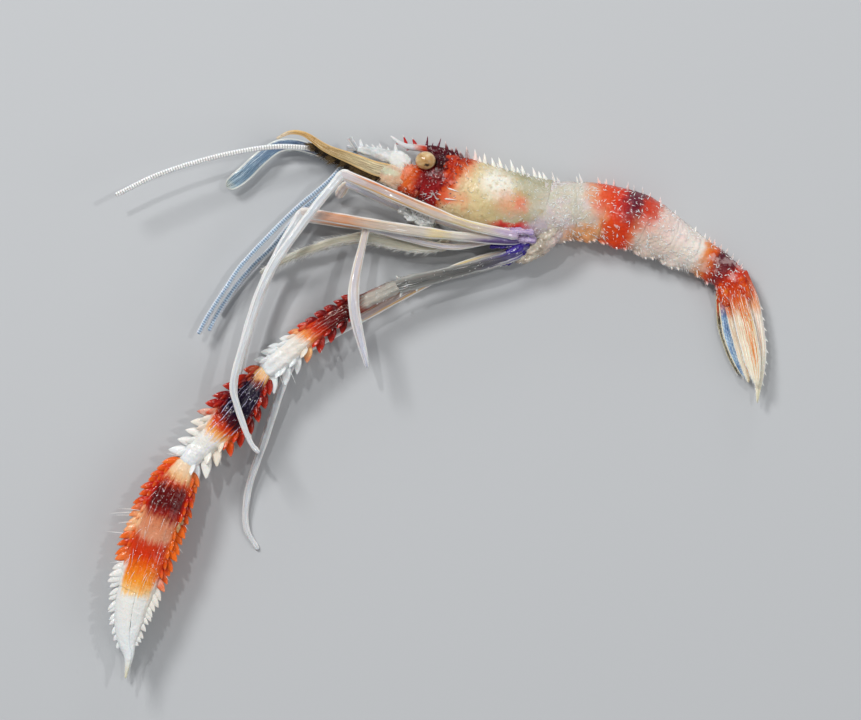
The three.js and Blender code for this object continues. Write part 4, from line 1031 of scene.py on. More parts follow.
limbLinks = {
    # Links of each limb but the claw: name, first and last joint, girth, paint, slot, extras.
    "maxilliped": [("arm", 0, 3, "maxillipedArm", "maxilliped", "maxilliped_shell", {"hairs": 170}),
        ("tip", 2, None, "maxillipedTip", "maxilliped", "maxilliped_shell", {"hairs": 190})],
    "leg1": [("arm", 0, -1, "slenderArm", "slenderLeg", "slender_leg", {}),
        ("hand", -2, None, "slenderHand", "slenderLeg", "slender_leg", {"seam": 0.07})],
    "leg2": [("arm", 0, -2, "slenderArm", "slenderLeg", "slender_leg", {}),
        ("hand", -3, None, "slenderHand", "slenderLeg", "slender_leg", {"seam": 0.07})],
    "leg4": [("arm", 0, 4, "longArm", "leg4", "walking_leg", {}),
        ("shank", 3, None, "longShank", "shank", "walking_leg", {})],
    "leg5": [("arm", 0, 3, "longArm", "leg5", "walking_leg", {}),
        ("shank", 2, None, "longShank", "shank", "walking_leg", {})],
}
# Rows of petal teeth down each margin of the claw: from and to (shares of the link), how many,
# degrees round, length, width, lean, and how much longer the last is than the middle one.
teeth = {
    "merus": [(0.3, 0.95, 11, 0, 0.95, 0.84, 42, 0), (0.72, 0.94, 4, 30, 0.65, 0.75, 50, 0),
        (0.72, 0.92, 3, 148, 0.75, 0.8, 45, 0), (0.3, 0.7, 7, 26, 0.75, 0.7, 56, 0),
        (0.3, 0.6, 5, 52, 0.5, 0.55, 64, 0), (0.32, 0.97, 8, 180, 1.35, 0.98, 28, 0.2),
        (0.34, 0.9, 7, 152, 0.75, 0.7, 50, 0)],
    "carpus": [(0.07, 0.93, 10, 0, 1.45, 1, 24, 0.1), (0.68, 0.93, 3, 27, 0.85, 0.85, 40, 0),
        (0.68, 0.95, 3, 150, 0.95, 0.85, 40, 0), (0.1, 0.6, 7, 24, 0.95, 0.75, 44, 0),
        (0.13, 0.5, 5, 46, 0.6, 0.6, 58, 0), (0.1, 0.95, 9, 180, 1.55, 1.04, 30, 0.25),
        (0.14, 0.64, 7, 154, 0.95, 0.75, 46, 0)],
    "palm": [(0.03, 0.585, 18, 0, 1.3, 0.86, 26, 0), (0.07, 0.42, 10, 22, 0.7, 0.65, 54, 0),
        (0.05, 0.62, 17, 180, 1.2, 0.86, 30, 0), (0.645, 0.85, 8, 180, 0.8, 0.7, 36, -0.45),
        (0.08, 0.5, 11, 158, 0.7, 0.65, 54, 0)],
    "finger": [(0.6, 0.84, 10, 0, 0.8, 0.68, 38, -0.45)],
}


def makeSlenderLimb(name, piece, path, girth, material, slot, hairs=0, seam=0):
    # A thin jointed link: a tube, round at both ends, with a slight collar beside each. A hand has
    # a seam down its far part, between its two fingers.
    length = pathLength(path)
    first, last = girthOf(girth, (0, 1), np.array([0.02, 0.98]))[0]
    grow = Growth(len(name) + len(piece), path, girth, (-0.8 * first, length + 0.8 * last))
    draw = grow.random.uniform

    def relief(distance, angle):
        # Collars near both ends, less the seam, and six low ridges that wave a little.
        collars = hump(distance, 0.35, 0.22) + hump(distance - length + 0.35, 0, 0.22)
        split = seam * hump(np.cos(angle), 0, 0.1) * np.clip((distance / length - 0.5) / 0.1, 0, 1)
        wave = np.sin(2.1 * distance + 2 * angle)
        return 0.05 * collars - split + 0.024 * np.cos(6 * angle) + 0.012 * wave

    grow.shell(sides=40, rings=max(50, int(length * 8)), cap=(first, last), relief=relief)
    if hairs:
        around = grow.random.choice([0, 180], hairs) + draw(-50, 50, hairs)
        grow.row(draw(0.1 * length, length, hairs), around, draw(30, 70, hairs),
            length=draw(0.3, 0.9, hairs), width=0.07, form="hair", hook=0.15, rings=4, sides=4, pale=0.8)
    grow.make(f"{name}_{piece}_link", material, slot, f"{name}_{piece}")


def ischiumRelief(distance, angle, end):
    # A swelling and a groove before the far end, four low ridges and a slow wave.
    return (0.08 * hump(distance - end + 0.6, 0, 0.3) - 0.06 * hump(distance - end + 1.3, 0, 0.15)
        + 0.03 * np.cos(4 * angle) + 0.015 * np.sin(1.7 * distance + 2 * angle))


def merusRelief(distance, angle, end):
    # Six low ridges on the faces, and a wave that crosses them.
    return 0.05 * np.cos(6 * angle) * np.sin(angle) ** 2 + 0.03 * np.sin(distance * 2.3) * np.sin(2 * angle)


def carpusRelief(distance, angle, end):
    # Twelve low ridges on the faces, strongest where the link is widest.
    return 0.05 * np.cos(12 * angle) * np.sin(angle) ** 2 * hump(distance, 4.5, 3.2)


clawLinks = {
    "ischium": {
        "joints": (0, 3), "seed": 30, "ends": (0.35, 0.2), "relief": ischiumRelief,
        "rough": [(1.2, 0.035, 95)],
        "shape": dict(sides=56, rings=120, cap=(0.5, 0.4)),
        "specks": dict(low=1.5, count=70, length=(0.1, 0.22), width=0.08),
        # Leaf teeth: distance back from the far end, degrees round, length.
        "leaves": [(0.5, 175, 0.6), (0.6, 20, 0.5), (2.1, 178, 0.35)],
    },
    "merus": {
        "joints": (2, 5), "seed": 31, "ends": (0.3, 0.3), "relief": merusRelief,
        "rough": [(1, 0.05, 96), (0.4, 0.025, 97)],
        "shape": dict(sides=80, rings=140, cap=(0.5, 0.5)),
        "specks": dict(low=0.6, count=80, length=(0.1, 0.24), width=0.09),
        "bristles": ([0.62, 0.86, 0.93], [178, 182, 176], [1.3, 1.9, 1.6], 10),
    },
    "carpus": {
        "joints": (4, 7), "seed": 32, "ends": (0.35, 0.35), "relief": carpusRelief,
        "rough": [(1.1, 0.05, 98), (0.4, 0.02, 99)],
        "shape": dict(sides=120, rings=130, cap=(0.5, 0.5)),
        "specks": dict(low=0.5, count=90, length=(0.1, 0.24), width=0.09, pale=0.95),
        # Shares of the length, degrees round, lengths, lean.
        "bristles": ([0.72, 0.82, 0.93, 0.97], [185, 178, 182, 2], [1.8, 1.7, 1.9, 1.5], 30),
    },
}


def makeClawLink(side, link, path, material):
    # A link of the claw's arm: a tube with its own relief, rows of teeth, specks and bristles.
    settings = clawLinks[link]
    before, beyond = settings["ends"]
    end = pathLength(path) + beyond
    grow = Growth(settings["seed"], path, limbGirth[link], (-before, end))
    relief = lambda distance, angle: settings["relief"](distance, angle, end)
    grow.shell(*settings["rough"], relief=relief, **settings["shape"])
    grow.petals(teeth.get(link, []))
    if "leaves" in settings:
        fromEnd, around, length = np.array(settings["leaves"]).T
        grow.row(end - fromEnd, around, 35, length=length, width=0.4, thickness=0.26, form="leaf")
    grow.strew(**{"high": end, "pale": 0.9, "lean": 58, **settings["specks"]})
    if "bristles" in settings:
        grow.bristles(*settings["bristles"])
    grow.make(f"leg3_{side}_{link}_link", material, f"claw_{link}", f"leg3_{side}_{link}")


hand = {
    # The seam between the fingers: where it starts and opens, as shares of the hand, and how far
    # it stands off the middle, how deep its edges sink and how much of the finger the palm hides.
    "seamRoot": 0.62, "opening": 0.02, "seamOffset": -0.2, "crease": 0.05, "hidden": 0.04,
    "fingersFrom": 15,  # distance at which the ridges have died out
    "warts": ([5.3, 5.75, 6.3], [163, 168, 160], [0.6, 0.7, 0.45]),  # distances, degrees round, widths
    "bristles": [
        # Shares of the length, degrees round, lengths, lean.
        ([0.28, 0.29, 0.305, 0.33, 0.39, 0.51], [8, 0, -6, 4, 0, 2], [2.4, 3.1, 2.6, 2, 2.7, 1.4],
            [10, 18, 14, 20, 6, 16]),
        ([0.26, 0.36, 0.5, 0.62], [180, 182, 180, 178], [1.3, 1.5, 1.2, 1.1], 25),
    ],
}


def makeClawHand(side, path, material):
    # One tube, of which the palm keeps one side of the seam past its root, and the finger the other.
    first, last = -0.35, pathLength(path)
    length = last - first
    grow = Growth(33, path, limbGirth["hand"], (first, last))

    def relief(distance, angle):
        # Low lengthwise ridges, with one keel each side of the middle, which die out before the fingers.
        keels = hump(np.cos(angle), 0.28, 0.12) + hump(np.cos(angle), -0.35, 0.12)
        fade = np.clip((hand["fingersFrom"] - distance) / 4, 0, 1)
        return (0.03 * np.cos(11 * angle) + 0.05 * keels) * np.sin(angle) ** 2 * fade

    def seamTrim(isPalm):
        # Past the seam's root each finger keeps only its own side of it, with the edges eased down.
        def trim(distance, a, b):
            share = (distance - first) / length
            edge = hand["seamOffset"] * np.clip((1 - share) / 0.12, 0, 1) + 0.1 * np.sin(5 * share)
            if isPalm:
                opening = [hand["seamRoot"] - hand["opening"], hand["seamRoot"]]
                edge = edge + np.interp(share, opening, [4, 0])
            kept = np.minimum(a, edge) if isPalm else np.maximum(a, edge)
            return kept, b * (1 - hand["crease"] * hump(kept - edge, 0, 0.1))
        return trim

    grow.shell((1.2, 0.035, 101), (0.4, 0.015, 104), sides=140, rings=240, cap=(0.5, 0.2), relief=relief,
        trim=seamTrim(True))
    grow.petals(teeth["palm"])
    grow.strew(0.6, 13.5, 95, (0.08, 0.22), 0.1, pale=0.95, lean=55)
    for rows in hand["bristles"]:
        grow.bristles(*rows)
    grow.strew(2, 12, 28, (0.8, 1.9), 0.055, pale=1, lean=80, yaw=38, around=(35, 145), form="hair")
    places, around, width = hand["warts"]
    grow.row(places, around, length=0.32, width=width, form="knob", rings=10, sides=12)
    grow.make(f"leg3_{side}_palm_shell", material, "claw_hand", f"leg3_{side}_palm")
    # The finger starts hidden inside the palm, a little slimmer.
    low, high = first + (hand["seamRoot"] - hand["hidden"]) * length, last - 0.1
    share = np.linspace(0, 1, 40)
    width, thickness = girthOf(limbGirth["hand"], (first, last), low + share * (high - low))
    tuck = np.interp(share, [0, hand["hidden"] * length / (high - low), 0.2], [0.86, 0.97, 1])
    girth = list(zip(share, width * tuck, thickness * tuck))
    grow.patches = [tube(path, girth, (low, high), sides=96, rings=120, cap=(0.25, 0.2),
        trim=seamTrim(False))]
    grow.petals(teeth["finger"])
    grow.make(f"leg3_{side}_finger_shell", material, "claw_hand", f"leg3_{side}_finger")


# First segments of the legs: start, heading, length, half width, half thickness.
legBases = {
    "lower": [((9.1, 11.1, 4), -148, 2.7, 0.82, 0.65), ((9.7, 11.6, 3.9), -178, 3.8, 0.52, 0.5),
        ((9.4, 11.1, 1.8), -148, 2.5, 0.8, 0.6), ((9.8, 11.7, 1.9), -178, 2.8, 0.5, 0.42)],
    "upper": [((10.3, 12, 4.3), 177, 2.6, 0.5, 0.5), ((10.1, 12.7, 4.9), 174, 3, 0.4, 0.68),
        ((10.3, 12.5, 1.6), 176, 3.2, 0.7, 0.7)],
}


def makeLegBases(which, material):
    # Short tapering tubes, roughened, with pale specks.
    grow = Growth(35)
    for start, heading, length, wide, thick in legBases[which]:
        path = layPath(start, [(length / 2, heading, 0), (length / 2, heading + 3, 0)])
        girth = [(0, wide, thick), (0.5, wide * 0.9, thick), (1, wide * 0.5, thick * 0.6)]
        grow.body = (path, girth, (-0.3, length))
        grow.shell((0.9, 0.09, 110), (0.4, 0.04, 113), sides=48, rings=44, cap=0.4)
        grow.strew(0.3, length, 16, (0.12, 0.3), 0.09, pale=0.8)
    grow.make(f"leg_bases_{which}", material, "walking_leg")


carapaceSpots = [
    # Colour, centre and radii in distance along and side, softness of the rim, amount.
    ((236, 232, 220), (7.3, -0.5), (1.8, 0.42), 0.6, 0.9),
    ((226, 144, 112), (9.1, 0), (1.5, 0.34), 0.6, 0.55),
    ((222, 108, 78), (10.1, -0.02), (0.55, 0.2), 0.7, 0.6),
    ((206, 52, 46), (9.6, 0.7), (1.8, 0.12), 0.6, 0.95),
    ((196, 30, 34), (10.6, 0.66), (0.5, 0.2), 0.5, 0.8),
    ((222, 96, 66), (2.9, 0.45), (0.9, 0.16), 0.7, 0.8),
    ((224, 128, 86), (4.2, 0.3), (0.9, 0.2), 0.7, 0.5),
    ((202, 186, 204), (12.2, 0.62), (1.3, 0.3), 0.6, 0.6),
]


def carapacePaint():
    # Purple, red and orange in slanting bands behind the eye, then a white patch on cream.
    p = Paint("carapacePaint", 0.75)
    slant = p.plus(p.place, p.times(p.across, 1))
    ragged = p.noise(2.2, 5, 0.7)
    front = p.plus(p.minus(p.place, p.times(p.across, 0.2)), p.times(p.minus(ragged, 0.5), 2.4))
    p.colour = p.ramp(slant, [(0.8, 160, 32, 14), (2.3, 168, 40, 6), (2.9, 196, 80, 34),
        (3.4, 216, 146, 106), (4, 218, 196, 160)])
    rear = p.ramp(p.along, [(3, 222, 198, 156), (6.5, 208, 188, 142), (9, 184, 170, 128),
        (11, 176, 166, 136), (12.8, 194, 184, 170)])
    p.over(rear, p.remap(slant, 3.2, 4.4))
    p.over((156, 156, 122), p.remap(p.across, -0.9, -0.3, 0.6, 0), p.remap(p.along, 6.5, 9.5))
    p.over((196, 196, 184), p.clouds(0.44, 0.6, 0.35, 0.5, 3), p.remap(p.along, 7.5, 9.5))
    for colour, *place in carapaceSpots:
        p.over(colour, p.spot(*place))
    p.over((206, 76, 20), p.remap(slant, 3.2, 2.6), p.remap(ragged, 0.52, 0.62, 0, 0.7))
    p.over((120, 8, 16), p.remap(slant, 3.2, 2.6), p.remap(ragged, 0.46, 0.36, 0, 0.8))
    shade = p.ramp(p.across, [(-1, 66, 2, 16), (-0.5, 38, 0, 0), (0, 100, 2, 4), (0.5, 146, 28, 30)])
    p.over(shade, p.remap(front, 2.2, 1.6))
    crimsonAndSparkle = p.times(p.remap(front, 2.2, 1.4), p.remap(p.across, -0.5, 0, 0.15, 1))
    p.over((176, 50, 54), crimsonAndSparkle, p.clouds(0.5, 0.62, 0.6, 2.6, 5, 0.7))
    # Painted glints: the pink-white specks in the crimson patch stand in for sparkles of light on the wet
    # shell.
    p.over((250, 226, 232), crimsonAndSparkle, p.remap(p.cells(2.4), 0.05, 0.1, 1, 0))
    p.over((88, 8, 26), p.remap(p.tooth, 0, 0.3), p.remap(p.along, 4, 3.2))
    p.over((188, 162, 112), p.clouds(0.52, 0.66, 0.5, 1.7, 5, 0.65), p.remap(slant, 2.8, 4))
    p.glintSpecks(2.6, 0.13, 0.7)
    p.over((96, 70, 44), p.remap(p.cells(0.5), 0.03, 0.055, 0.75, 0))
    p.whiten((250, 226, 220), 0.55, 0.75)
    return p.finish(0.2, p.skin(0.12), coat=0.15, flesh=0.3)


def abdomenPaint():
    # Grey cream, then scarlet with purple on the back, white, and scarlet again before the tail.
    p = Paint("abdomenPaint")
    backs = p.ramp(p.place, [(12.4, 200, 194, 180), (16.4, 204, 196, 182), (17.3, 216, 150, 112),
        (18, 220, 78, 24), (19.6, 208, 48, 4), (20.3, 176, 26, 14), (20.9, 92, 6, 36), (21.8, 104, 10, 28),
        (22.4, 200, 54, 24), (23.2, 206, 96, 78), (24, 222, 192, 180), (26, 228, 214, 206),
        (28.8, 232, 224, 214), (29.4, 222, 132, 64), (30.1, 210, 80, 12), (30.9, 80, 4, 30),
        (32.4, 96, 8, 18), (33, 200, 46, 6)])
    bellies = p.ramp(p.place, [(12.4, 202, 190, 186), (17.9, 206, 190, 174), (18.6, 220, 150, 104),
        (19.2, 216, 72, 16), (21.2, 210, 54, 8), (21.9, 218, 116, 76), (22.6, 214, 188, 172),
        (25, 220, 202, 188), (28.8, 226, 214, 202), (29.9, 220, 140, 80), (30.8, 192, 64, 20),
        (31.8, 124, 14, 24), (33.2, 204, 52, 8)])
    p.colour = backs
    p.over(bellies, p.remap(p.across, -0.55, 0.6))
    p.over((204, 186, 190), p.clouds(0.45, 0.6, 0.55, 0.55, 3), p.remap(p.place, 17.5, 16.5))
    p.over((190, 186, 160), p.clouds(0.5, 0.62, 0.5, 0.7, 3, 0.5, 0.4), p.remap(p.place, 17.5, 16.5))
    p.over((226, 150, 88), p.spot((16.6, 0.86), (2.2, 0.34), 0.45, 0.9))
    p.over((222, 196, 192), p.clouds(0.5, 0.62, 0.4, 1, 3), p.remap(p.place, 23, 24))
    # Painted highlights: white lengthwise streaks stand in for glints of light along fine hairs on the wet
    # shell.
    p.over((246, 240, 238), p.streaks(0.6, 0.72, 0.5, 0.6, 3.5, 3.5, 2.2, 4, 0.65, 0.6))
    p.glintSpecks(2.4, 0.16, 0.9)
    p.whiten((250, 236, 232), 0.45, 0.75)
    return p.finish(0.2, p.skin(0.15), coat=0.45, flesh=0.35, gloss=p.bump(p.noise(1.8, 2.5), 0.3))


def swimmerPaint():
    # Clear grey beige flesh with a lavender blush near the legs and a cream rim.
    p = Paint("swimmerPaint")
    p.cloud(1.2, (168, 156, 138), (222, 210, 192))
    p.over((230, 204, 206), p.remap(p.across, -0.9, 0.1, 0.8, 0), p.remap(p.along, 4.5, 1))
    p.over((226, 206, 194), p.clouds(0.54, 0.66, 0.6, 1.6, 4, 0.65))
    p.over((242, 230, 196), p.remap(p.across, 0.88, 0.98, 0, 0.6))
    p.glintSpecks(2.2, 0.17, 0.9)
    p.whiten()
    return p.finish(0.16, coat=0.3, flesh=0.3, clear=0.25)


def rostrumPaint():
    # Clear white, scarlet at its root, with purple teeth behind and red ones in front.
    p = Paint("rostrumPaint", sway=0.8)
    p.colour = p.ramp(p.place, [(0, 92, 10, 40), (1.3, 120, 14, 40), (2, 200, 66, 40), (2.6, 216, 168, 158),
        (3, 214, 214, 216), (5.4, 238, 238, 238)])
    p.over((240, 236, 236), p.remap(p.edge, 0.55, 0.85, 0, 0.5))
    p.over((104, 12, 48), p.remap(p.tooth, 0, 0.2), p.remap(p.along, 2.3, 2))
    p.over((190, 26, 22), p.band(p.tooth, 0.1, 0.75, 0.1), p.remap(p.along, 2.2, 2.5))
    p.over((244, 226, 226), p.remap(p.tooth, 0.78, 1, 0, 0.85))
    return p.finish(0.16, flesh=0.2, clear=0.2)


tailColours = {
    # Down the blade from its root, and the stripes on it.
    "uropod": {
        "stops": [(-0.9, 176, 30, 4), (0.6, 200, 60, 4), (2, 212, 116, 44), (3.6, 220, 190, 142),
            (6.5, 224, 212, 182), (9, 232, 224, 206), (11.5, 230, 226, 208)],
        "stripes": [(-0.9, 190, 40, 4), (1.4, 216, 84, 4), (3.8, 218, 112, 16), (7.4, 222, 132, 30),
            (9.2, 230, 200, 150), (11.5, 234, 232, 216)],
        "amount": 1,
    },
    "telson": {
        "stops": [(-0.5, 196, 52, 22), (1.6, 216, 92, 40), (2.8, 228, 160, 112), (3.8, 232, 220, 204),
            (8, 238, 234, 224), (12, 226, 220, 190)],
        "stripes": [(-0.5, 200, 60, 24), (3, 230, 150, 92), (5, 240, 226, 206), (7.5, 232, 196, 118),
            (9.5, 232, 222, 190), (12, 226, 220, 190)],
        "amount": 0.4,
    },
}


def tailPaint(name, stops, stripes, amount):
    # Orange threads and pale ribs run down the blade from its red root.
    p = Paint(name, 1, 1.2)
    p.colour = p.ramp(p.place, stops)
    ribs = p.maths("SINE", p.plus(p.times(p.across, 17), p.times(p.wander, 4)))
    p.over(p.ramp(p.place, stripes), p.remap(ribs, 0.25, 0.7, 0, amount))
    threads = p.fibres(0.2, 7.5, 3, 2, 4, 0.7)
    p.over((238, 230, 208), p.remap(p.across, 0, 0.4, 0, 0.7), p.remap(p.place, 1.4, 3.4))
    p.over((224, 124, 38), p.band(p.across, -0.45, -0.1, 0.12),
        p.times(p.band(p.place, 1, 7.5, 1.4), 0.6 * amount))
    p.over((250, 244, 232), p.remap(threads, 0.52, 0.6, 0, 0.95), p.remap(p.place, 0.2, 1.8))
    p.over((168, 82, 40), p.remap(threads, 0.44, 0.36, 0, 0.45), p.remap(p.place, 7, 4))
    p.over((250, 248, 242), p.remap(p.edge, 0.88, 0.97, 0, 0.85), p.remap(p.place, 1.5, 3))
    p.whiten(start=0.3, amount=0.85)
    return p.finish(0.2, coat=0.3, flesh=0.2)


def tailBasePaint():
    # Clouds from dark red to orange.
    p = Paint("tailBasePaint")
    p.colour = p.ramp(p.noise(0.9, 4, 0.6), [(0.3, 140, 20, 10), (0.42, 192, 50, 4), (0.55, 208, 76, 8),
        (0.7, 222, 120, 40)])
    threads = p.fibres(0.25, 8, 3, 2, 4, 0.7)
    p.over((246, 214, 176), p.remap(threads, 0.55, 0.62, 0, 0.8), p.remap(p.place, 1, 2.2))
    p.glintSpecks(2.6, 0.16, 0.9)
    p.whiten((246, 226, 206))
    return p.finish(0.17, coat=0.3)


bladeColours = {
    "blueBlade": {"dark": (84, 120, 170), "bright": (186, 214, 234), "rim": (240, 230, 196),
        "glint": (240, 248, 252)},
    "oliveBlade": {"dark": (70, 64, 48), "bright": (132, 122, 96), "rim": (206, 198, 166),
        "glint": (196, 190, 168)},
}


def bladePaint(name, dark, bright, rim, glint):
    # A clear blade crossed by bright slanting lines, with a pale rim.
    p = Paint(name)
    p.colour = p.ramp(p.fibres(0.5, 2.6, 1, 1.6), [(0.38, *dark), (0.6, *bright)])
    p.over(glint, p.streaks(0.56, 0.64, 0.9, 1.6, 2, 2, 2, 3, 0.7))
    hatch = p.maths("SINE", p.plus(p.times(p.along, 16), p.times(p.across, 9)))
    p.over(dark, p.remap(hatch, 0.55, 0.95, 0, 0.45))
    p.over((206, 84, 40), p.remap(p.place, 0.4, 2, 0.9, 0))
    p.over(rim, p.remap(p.edge, 0.74, 0.9))
    p.over((84, 74, 60), p.remap(p.edge, 0.93, 0.99, 0, 0.7))
    p.whiten(start=0.3, amount=0.85)
    return p.finish(0.16, coat=0.4, flesh=0.1)


def eyePaint():
    # Amber glass with a dark spot low at the front, over fine facets.
    p = Paint("eyePaint")
    cloud = p.noise(0.9, 4, 0.6, 0.8)
    p.colour = p.ramp(cloud, [(0.25, 140, 102, 58), (0.45, 184, 146, 94), (0.6, 212, 182, 134),
        (0.8, 234, 216, 184)])
    # Painted shade: the ball is darker round its rim, where its sides turn away from the light above.
    p.over((116, 66, 36), p.remap(p.maths("ABSOLUTE", p.up), 0.1, 0.5, 0.7, 0))
    split = p.put("ShaderNodeSeparateXYZ", {0: p.millimetres})
    jitter = p.times(p.minus(p.noise(4), 0.5), 0.35)
    x = p.maths("DIVIDE", p.minus(p.plus(split.outputs[0], jitter), eyeMiddle[0] + 0.14), 0.24)
    y = p.maths("DIVIDE", p.minus(p.plus(split.outputs[1], jitter), eyeMiddle[1] - 0.48), 0.13)
    p.over((44, 18, 10), p.remap(p.maths("SQRT", p.plus(p.times(x, x), p.times(y, y))), 0.5, 1.5, 1, 0))
    return p.finish(0.14, p.bump(p.cells(9), 0.02, 0.5), coat=1)


def antennaBasePaint():
    # Scarlet at its root and low down, salmon pink towards the front, with a cream front rim.
    p = Paint("antennaBasePaint", 1.1, 1.2)
    p.colour = p.ramp(p.place, [(-0.2, 96, 4, 22), (0.4, 146, 20, 8), (0.8, 190, 62, 4), (1.4, 208, 92, 26),
        (2.1, 216, 116, 70)])
    p.over((220, 132, 104), p.remap(p.along, 1.2, 1.8, 0, 0.8), p.remap(p.across, 0, 0.5))
    p.over((150, 40, 6), p.remap(p.across, -0.35, -0.75, 0, 0.85))
    p.over((112, 12, 26), p.clouds(0.56, 0.66, 0.8, 1.6, 4), p.remap(p.across, 0.2, -0.4))
    p.over((240, 160, 128), p.clouds(0.54, 0.64, 0.55, 2.4, 4, 0.7))
    p.over((240, 212, 180), p.remap(p.along, 2.15, 2.45, 0, 0.8))
    p.glintSpecks(3, 0.14, 0.9)
    p.whiten((246, 214, 196))
    return p.finish(0.16, coat=0.3)


def stalkPaint():
    # Greenish cream, clear in places, with a salmon blush low down and gold where the scale begins.
    p = Paint("stalkPaint", 1, 1)
    p.cloud(0.8, (204, 160, 128), (226, 194, 164))
    p.over((232, 204, 190), p.clouds(0.54, 0.66, 0.6, 1.5))
    p.over((204, 210, 184), p.spot((1.9, 0.3), (1, 0.45), 0.5, 0.85))
    p.over((240, 240, 234), p.remap(p.along, 1.6, 0.2, 0, 0.8), p.remap(p.across, 0.5, 0.9))
    p.over((208, 186, 140), p.remap(p.place, 2.6, 4.2))
    p.over((232, 214, 176), p.streaks(0.5, 0.62, 0.6, 0.3, 8, 2, 2.2, 5, 0.7), p.remap(p.place, 1, 2.6))
    p.over((242, 230, 204), p.remap(p.edge, 0.86, 0.97, 0, 0.6))
    p.glintSpecks(3, 0.13, 0.8)
    p.whiten()
    return p.finish(0.17, coat=0.3, flesh=0.3, clear=0.1)


fringeColours = {
    "goldScale": ("fringePaint", (120, 96, 60), (26, 20, 14)),
    "blueScale": ("paleFringePaint", (226, 228, 226), (150, 158, 166)),
}


def fringePaint(name, light, dark):
    # Hairs, each darker at its root.
    p = Paint(name)
    p.colour = p.ramp(p.tooth, [(0, *dark), (1, *light)])
    p.over(dark, p.clouds(0.42, 0.6, 1, 1.5))
    return p.finish(0.4, coat=0, flesh=0.1)


def antennulePaint():
    # White at its root, then clear grey with bright edges.
    p = Paint("antennulePaint", 1.2, 1)
    p.cloud(1.1, (206, 212, 212), (244, 245, 244))
    p.over((250, 250, 246), p.remap(p.place, 2.4, 1))
    p.over((222, 206, 196), p.clouds(0.54, 0.66, 0.5, 1.6, 4))
    p.over((246, 248, 248), p.streaks(0.58, 0.66, 0.7, 0.4, 7, 3, 2.2))
    p.over((244, 245, 244), p.remap(p.edge, 0.8, 0.95, 0, 0.8))
    p.whiten(start=0.2, amount=0.6)
    return p.finish(0.16, coat=0.3, flesh=0.25, clear=0.25)


strandColours = {
    "blueStrand": {"light": (188, 206, 222), "dark": (92, 116, 146)},
    "whiteStrand": {"light": (240, 240, 238), "dark": (150, 150, 148)},
}


def strandPaint(name, light, dark):
    # Rings of white with darker joints between, in step with the swelling of the feeler.
    p = Paint(name)
    ring = p.maths("ABSOLUTE", p.maths("SINE", p.times(p.along, np.pi / strandRings)))
    p.colour = p.ramp(ring, [(0.1, *dark), (0.7, *light)])
    p.over((240, 243, 246), p.remap(p.edge, 0.5, 0.85, 0, 0.8))
    p.over(dark, p.remap(p.edge, 0.3, 0.1, 0, 0.55), p.clouds(0.35, 0.5, 1, 3))
    return p.finish(0.25, coat=0.2, flesh=0.15)


scaleColours = {
    "goldScale": {
        "stops": [(0, 208, 202, 180), (3, 186, 174, 142), (6.5, 166, 144, 102), (9.5, 174, 134, 78),
            (11.5, 206, 166, 104), (13.6, 236, 228, 212)],
        "rim": (214, 178, 120), "light": (232, 214, 172), "dark": (112, 78, 40),
    },
    "blueScale": {
        "stops": [(0, 186, 184, 176), (6, 112, 122, 142), (10, 92, 110, 138), (14, 98, 124, 150),
            (18.2, 122, 150, 168), (19.4, 206, 208, 190)],
        "rim": (228, 230, 222), "light": (190, 208, 220), "dark": (66, 84, 108),
    },
}


def scalePaint(name, stops, rim, light, dark):
    # Fibres run along the blade under a clear skin.
    p = Paint(name, 1, 1.2)
    p.colour = p.ramp(p.place, stops)
    fibres = p.fibres(0.16, 3, 1.2, 2.4, 5, 0.75)
    p.over(light, p.remap(fibres, 0.54, 0.6, 0, 0.85))
    p.over(dark, p.remap(fibres, 0.46, 0.38, 0, 0.85))
    p.over(dark, p.clouds(0.55, 0.68, 0.45, 1.4, 4))
    p.over(rim, p.remap(p.edge, 0.68, 0.86, 0, 0.85))
    p.whiten()
    return p.finish(0.24, p.bump(fibres, 0.05, 0.6), coat=0.3, flesh=0.15)


def clearPaint():
    # Glassy crumpled skin, painted grey in the crumples' hollows and near white on their crests: painted
    # shade and painted highlights that follow its relief.
    p = Paint("clearPaint")
    crumple = p.noise(1.9, 5, 0.65, 1.2)
    p.colour = p.ramp(crumple, [(0.34, 160, 162, 158), (0.44, 222, 224, 220), (0.56, 250, 250, 247)])
    p.whiten((250, 250, 248), 0.3, 0.6)
    return p.finish(0.1, p.bump(crumple, 0.2, 1), coat=0.6, flesh=0.1, clear=0.2)


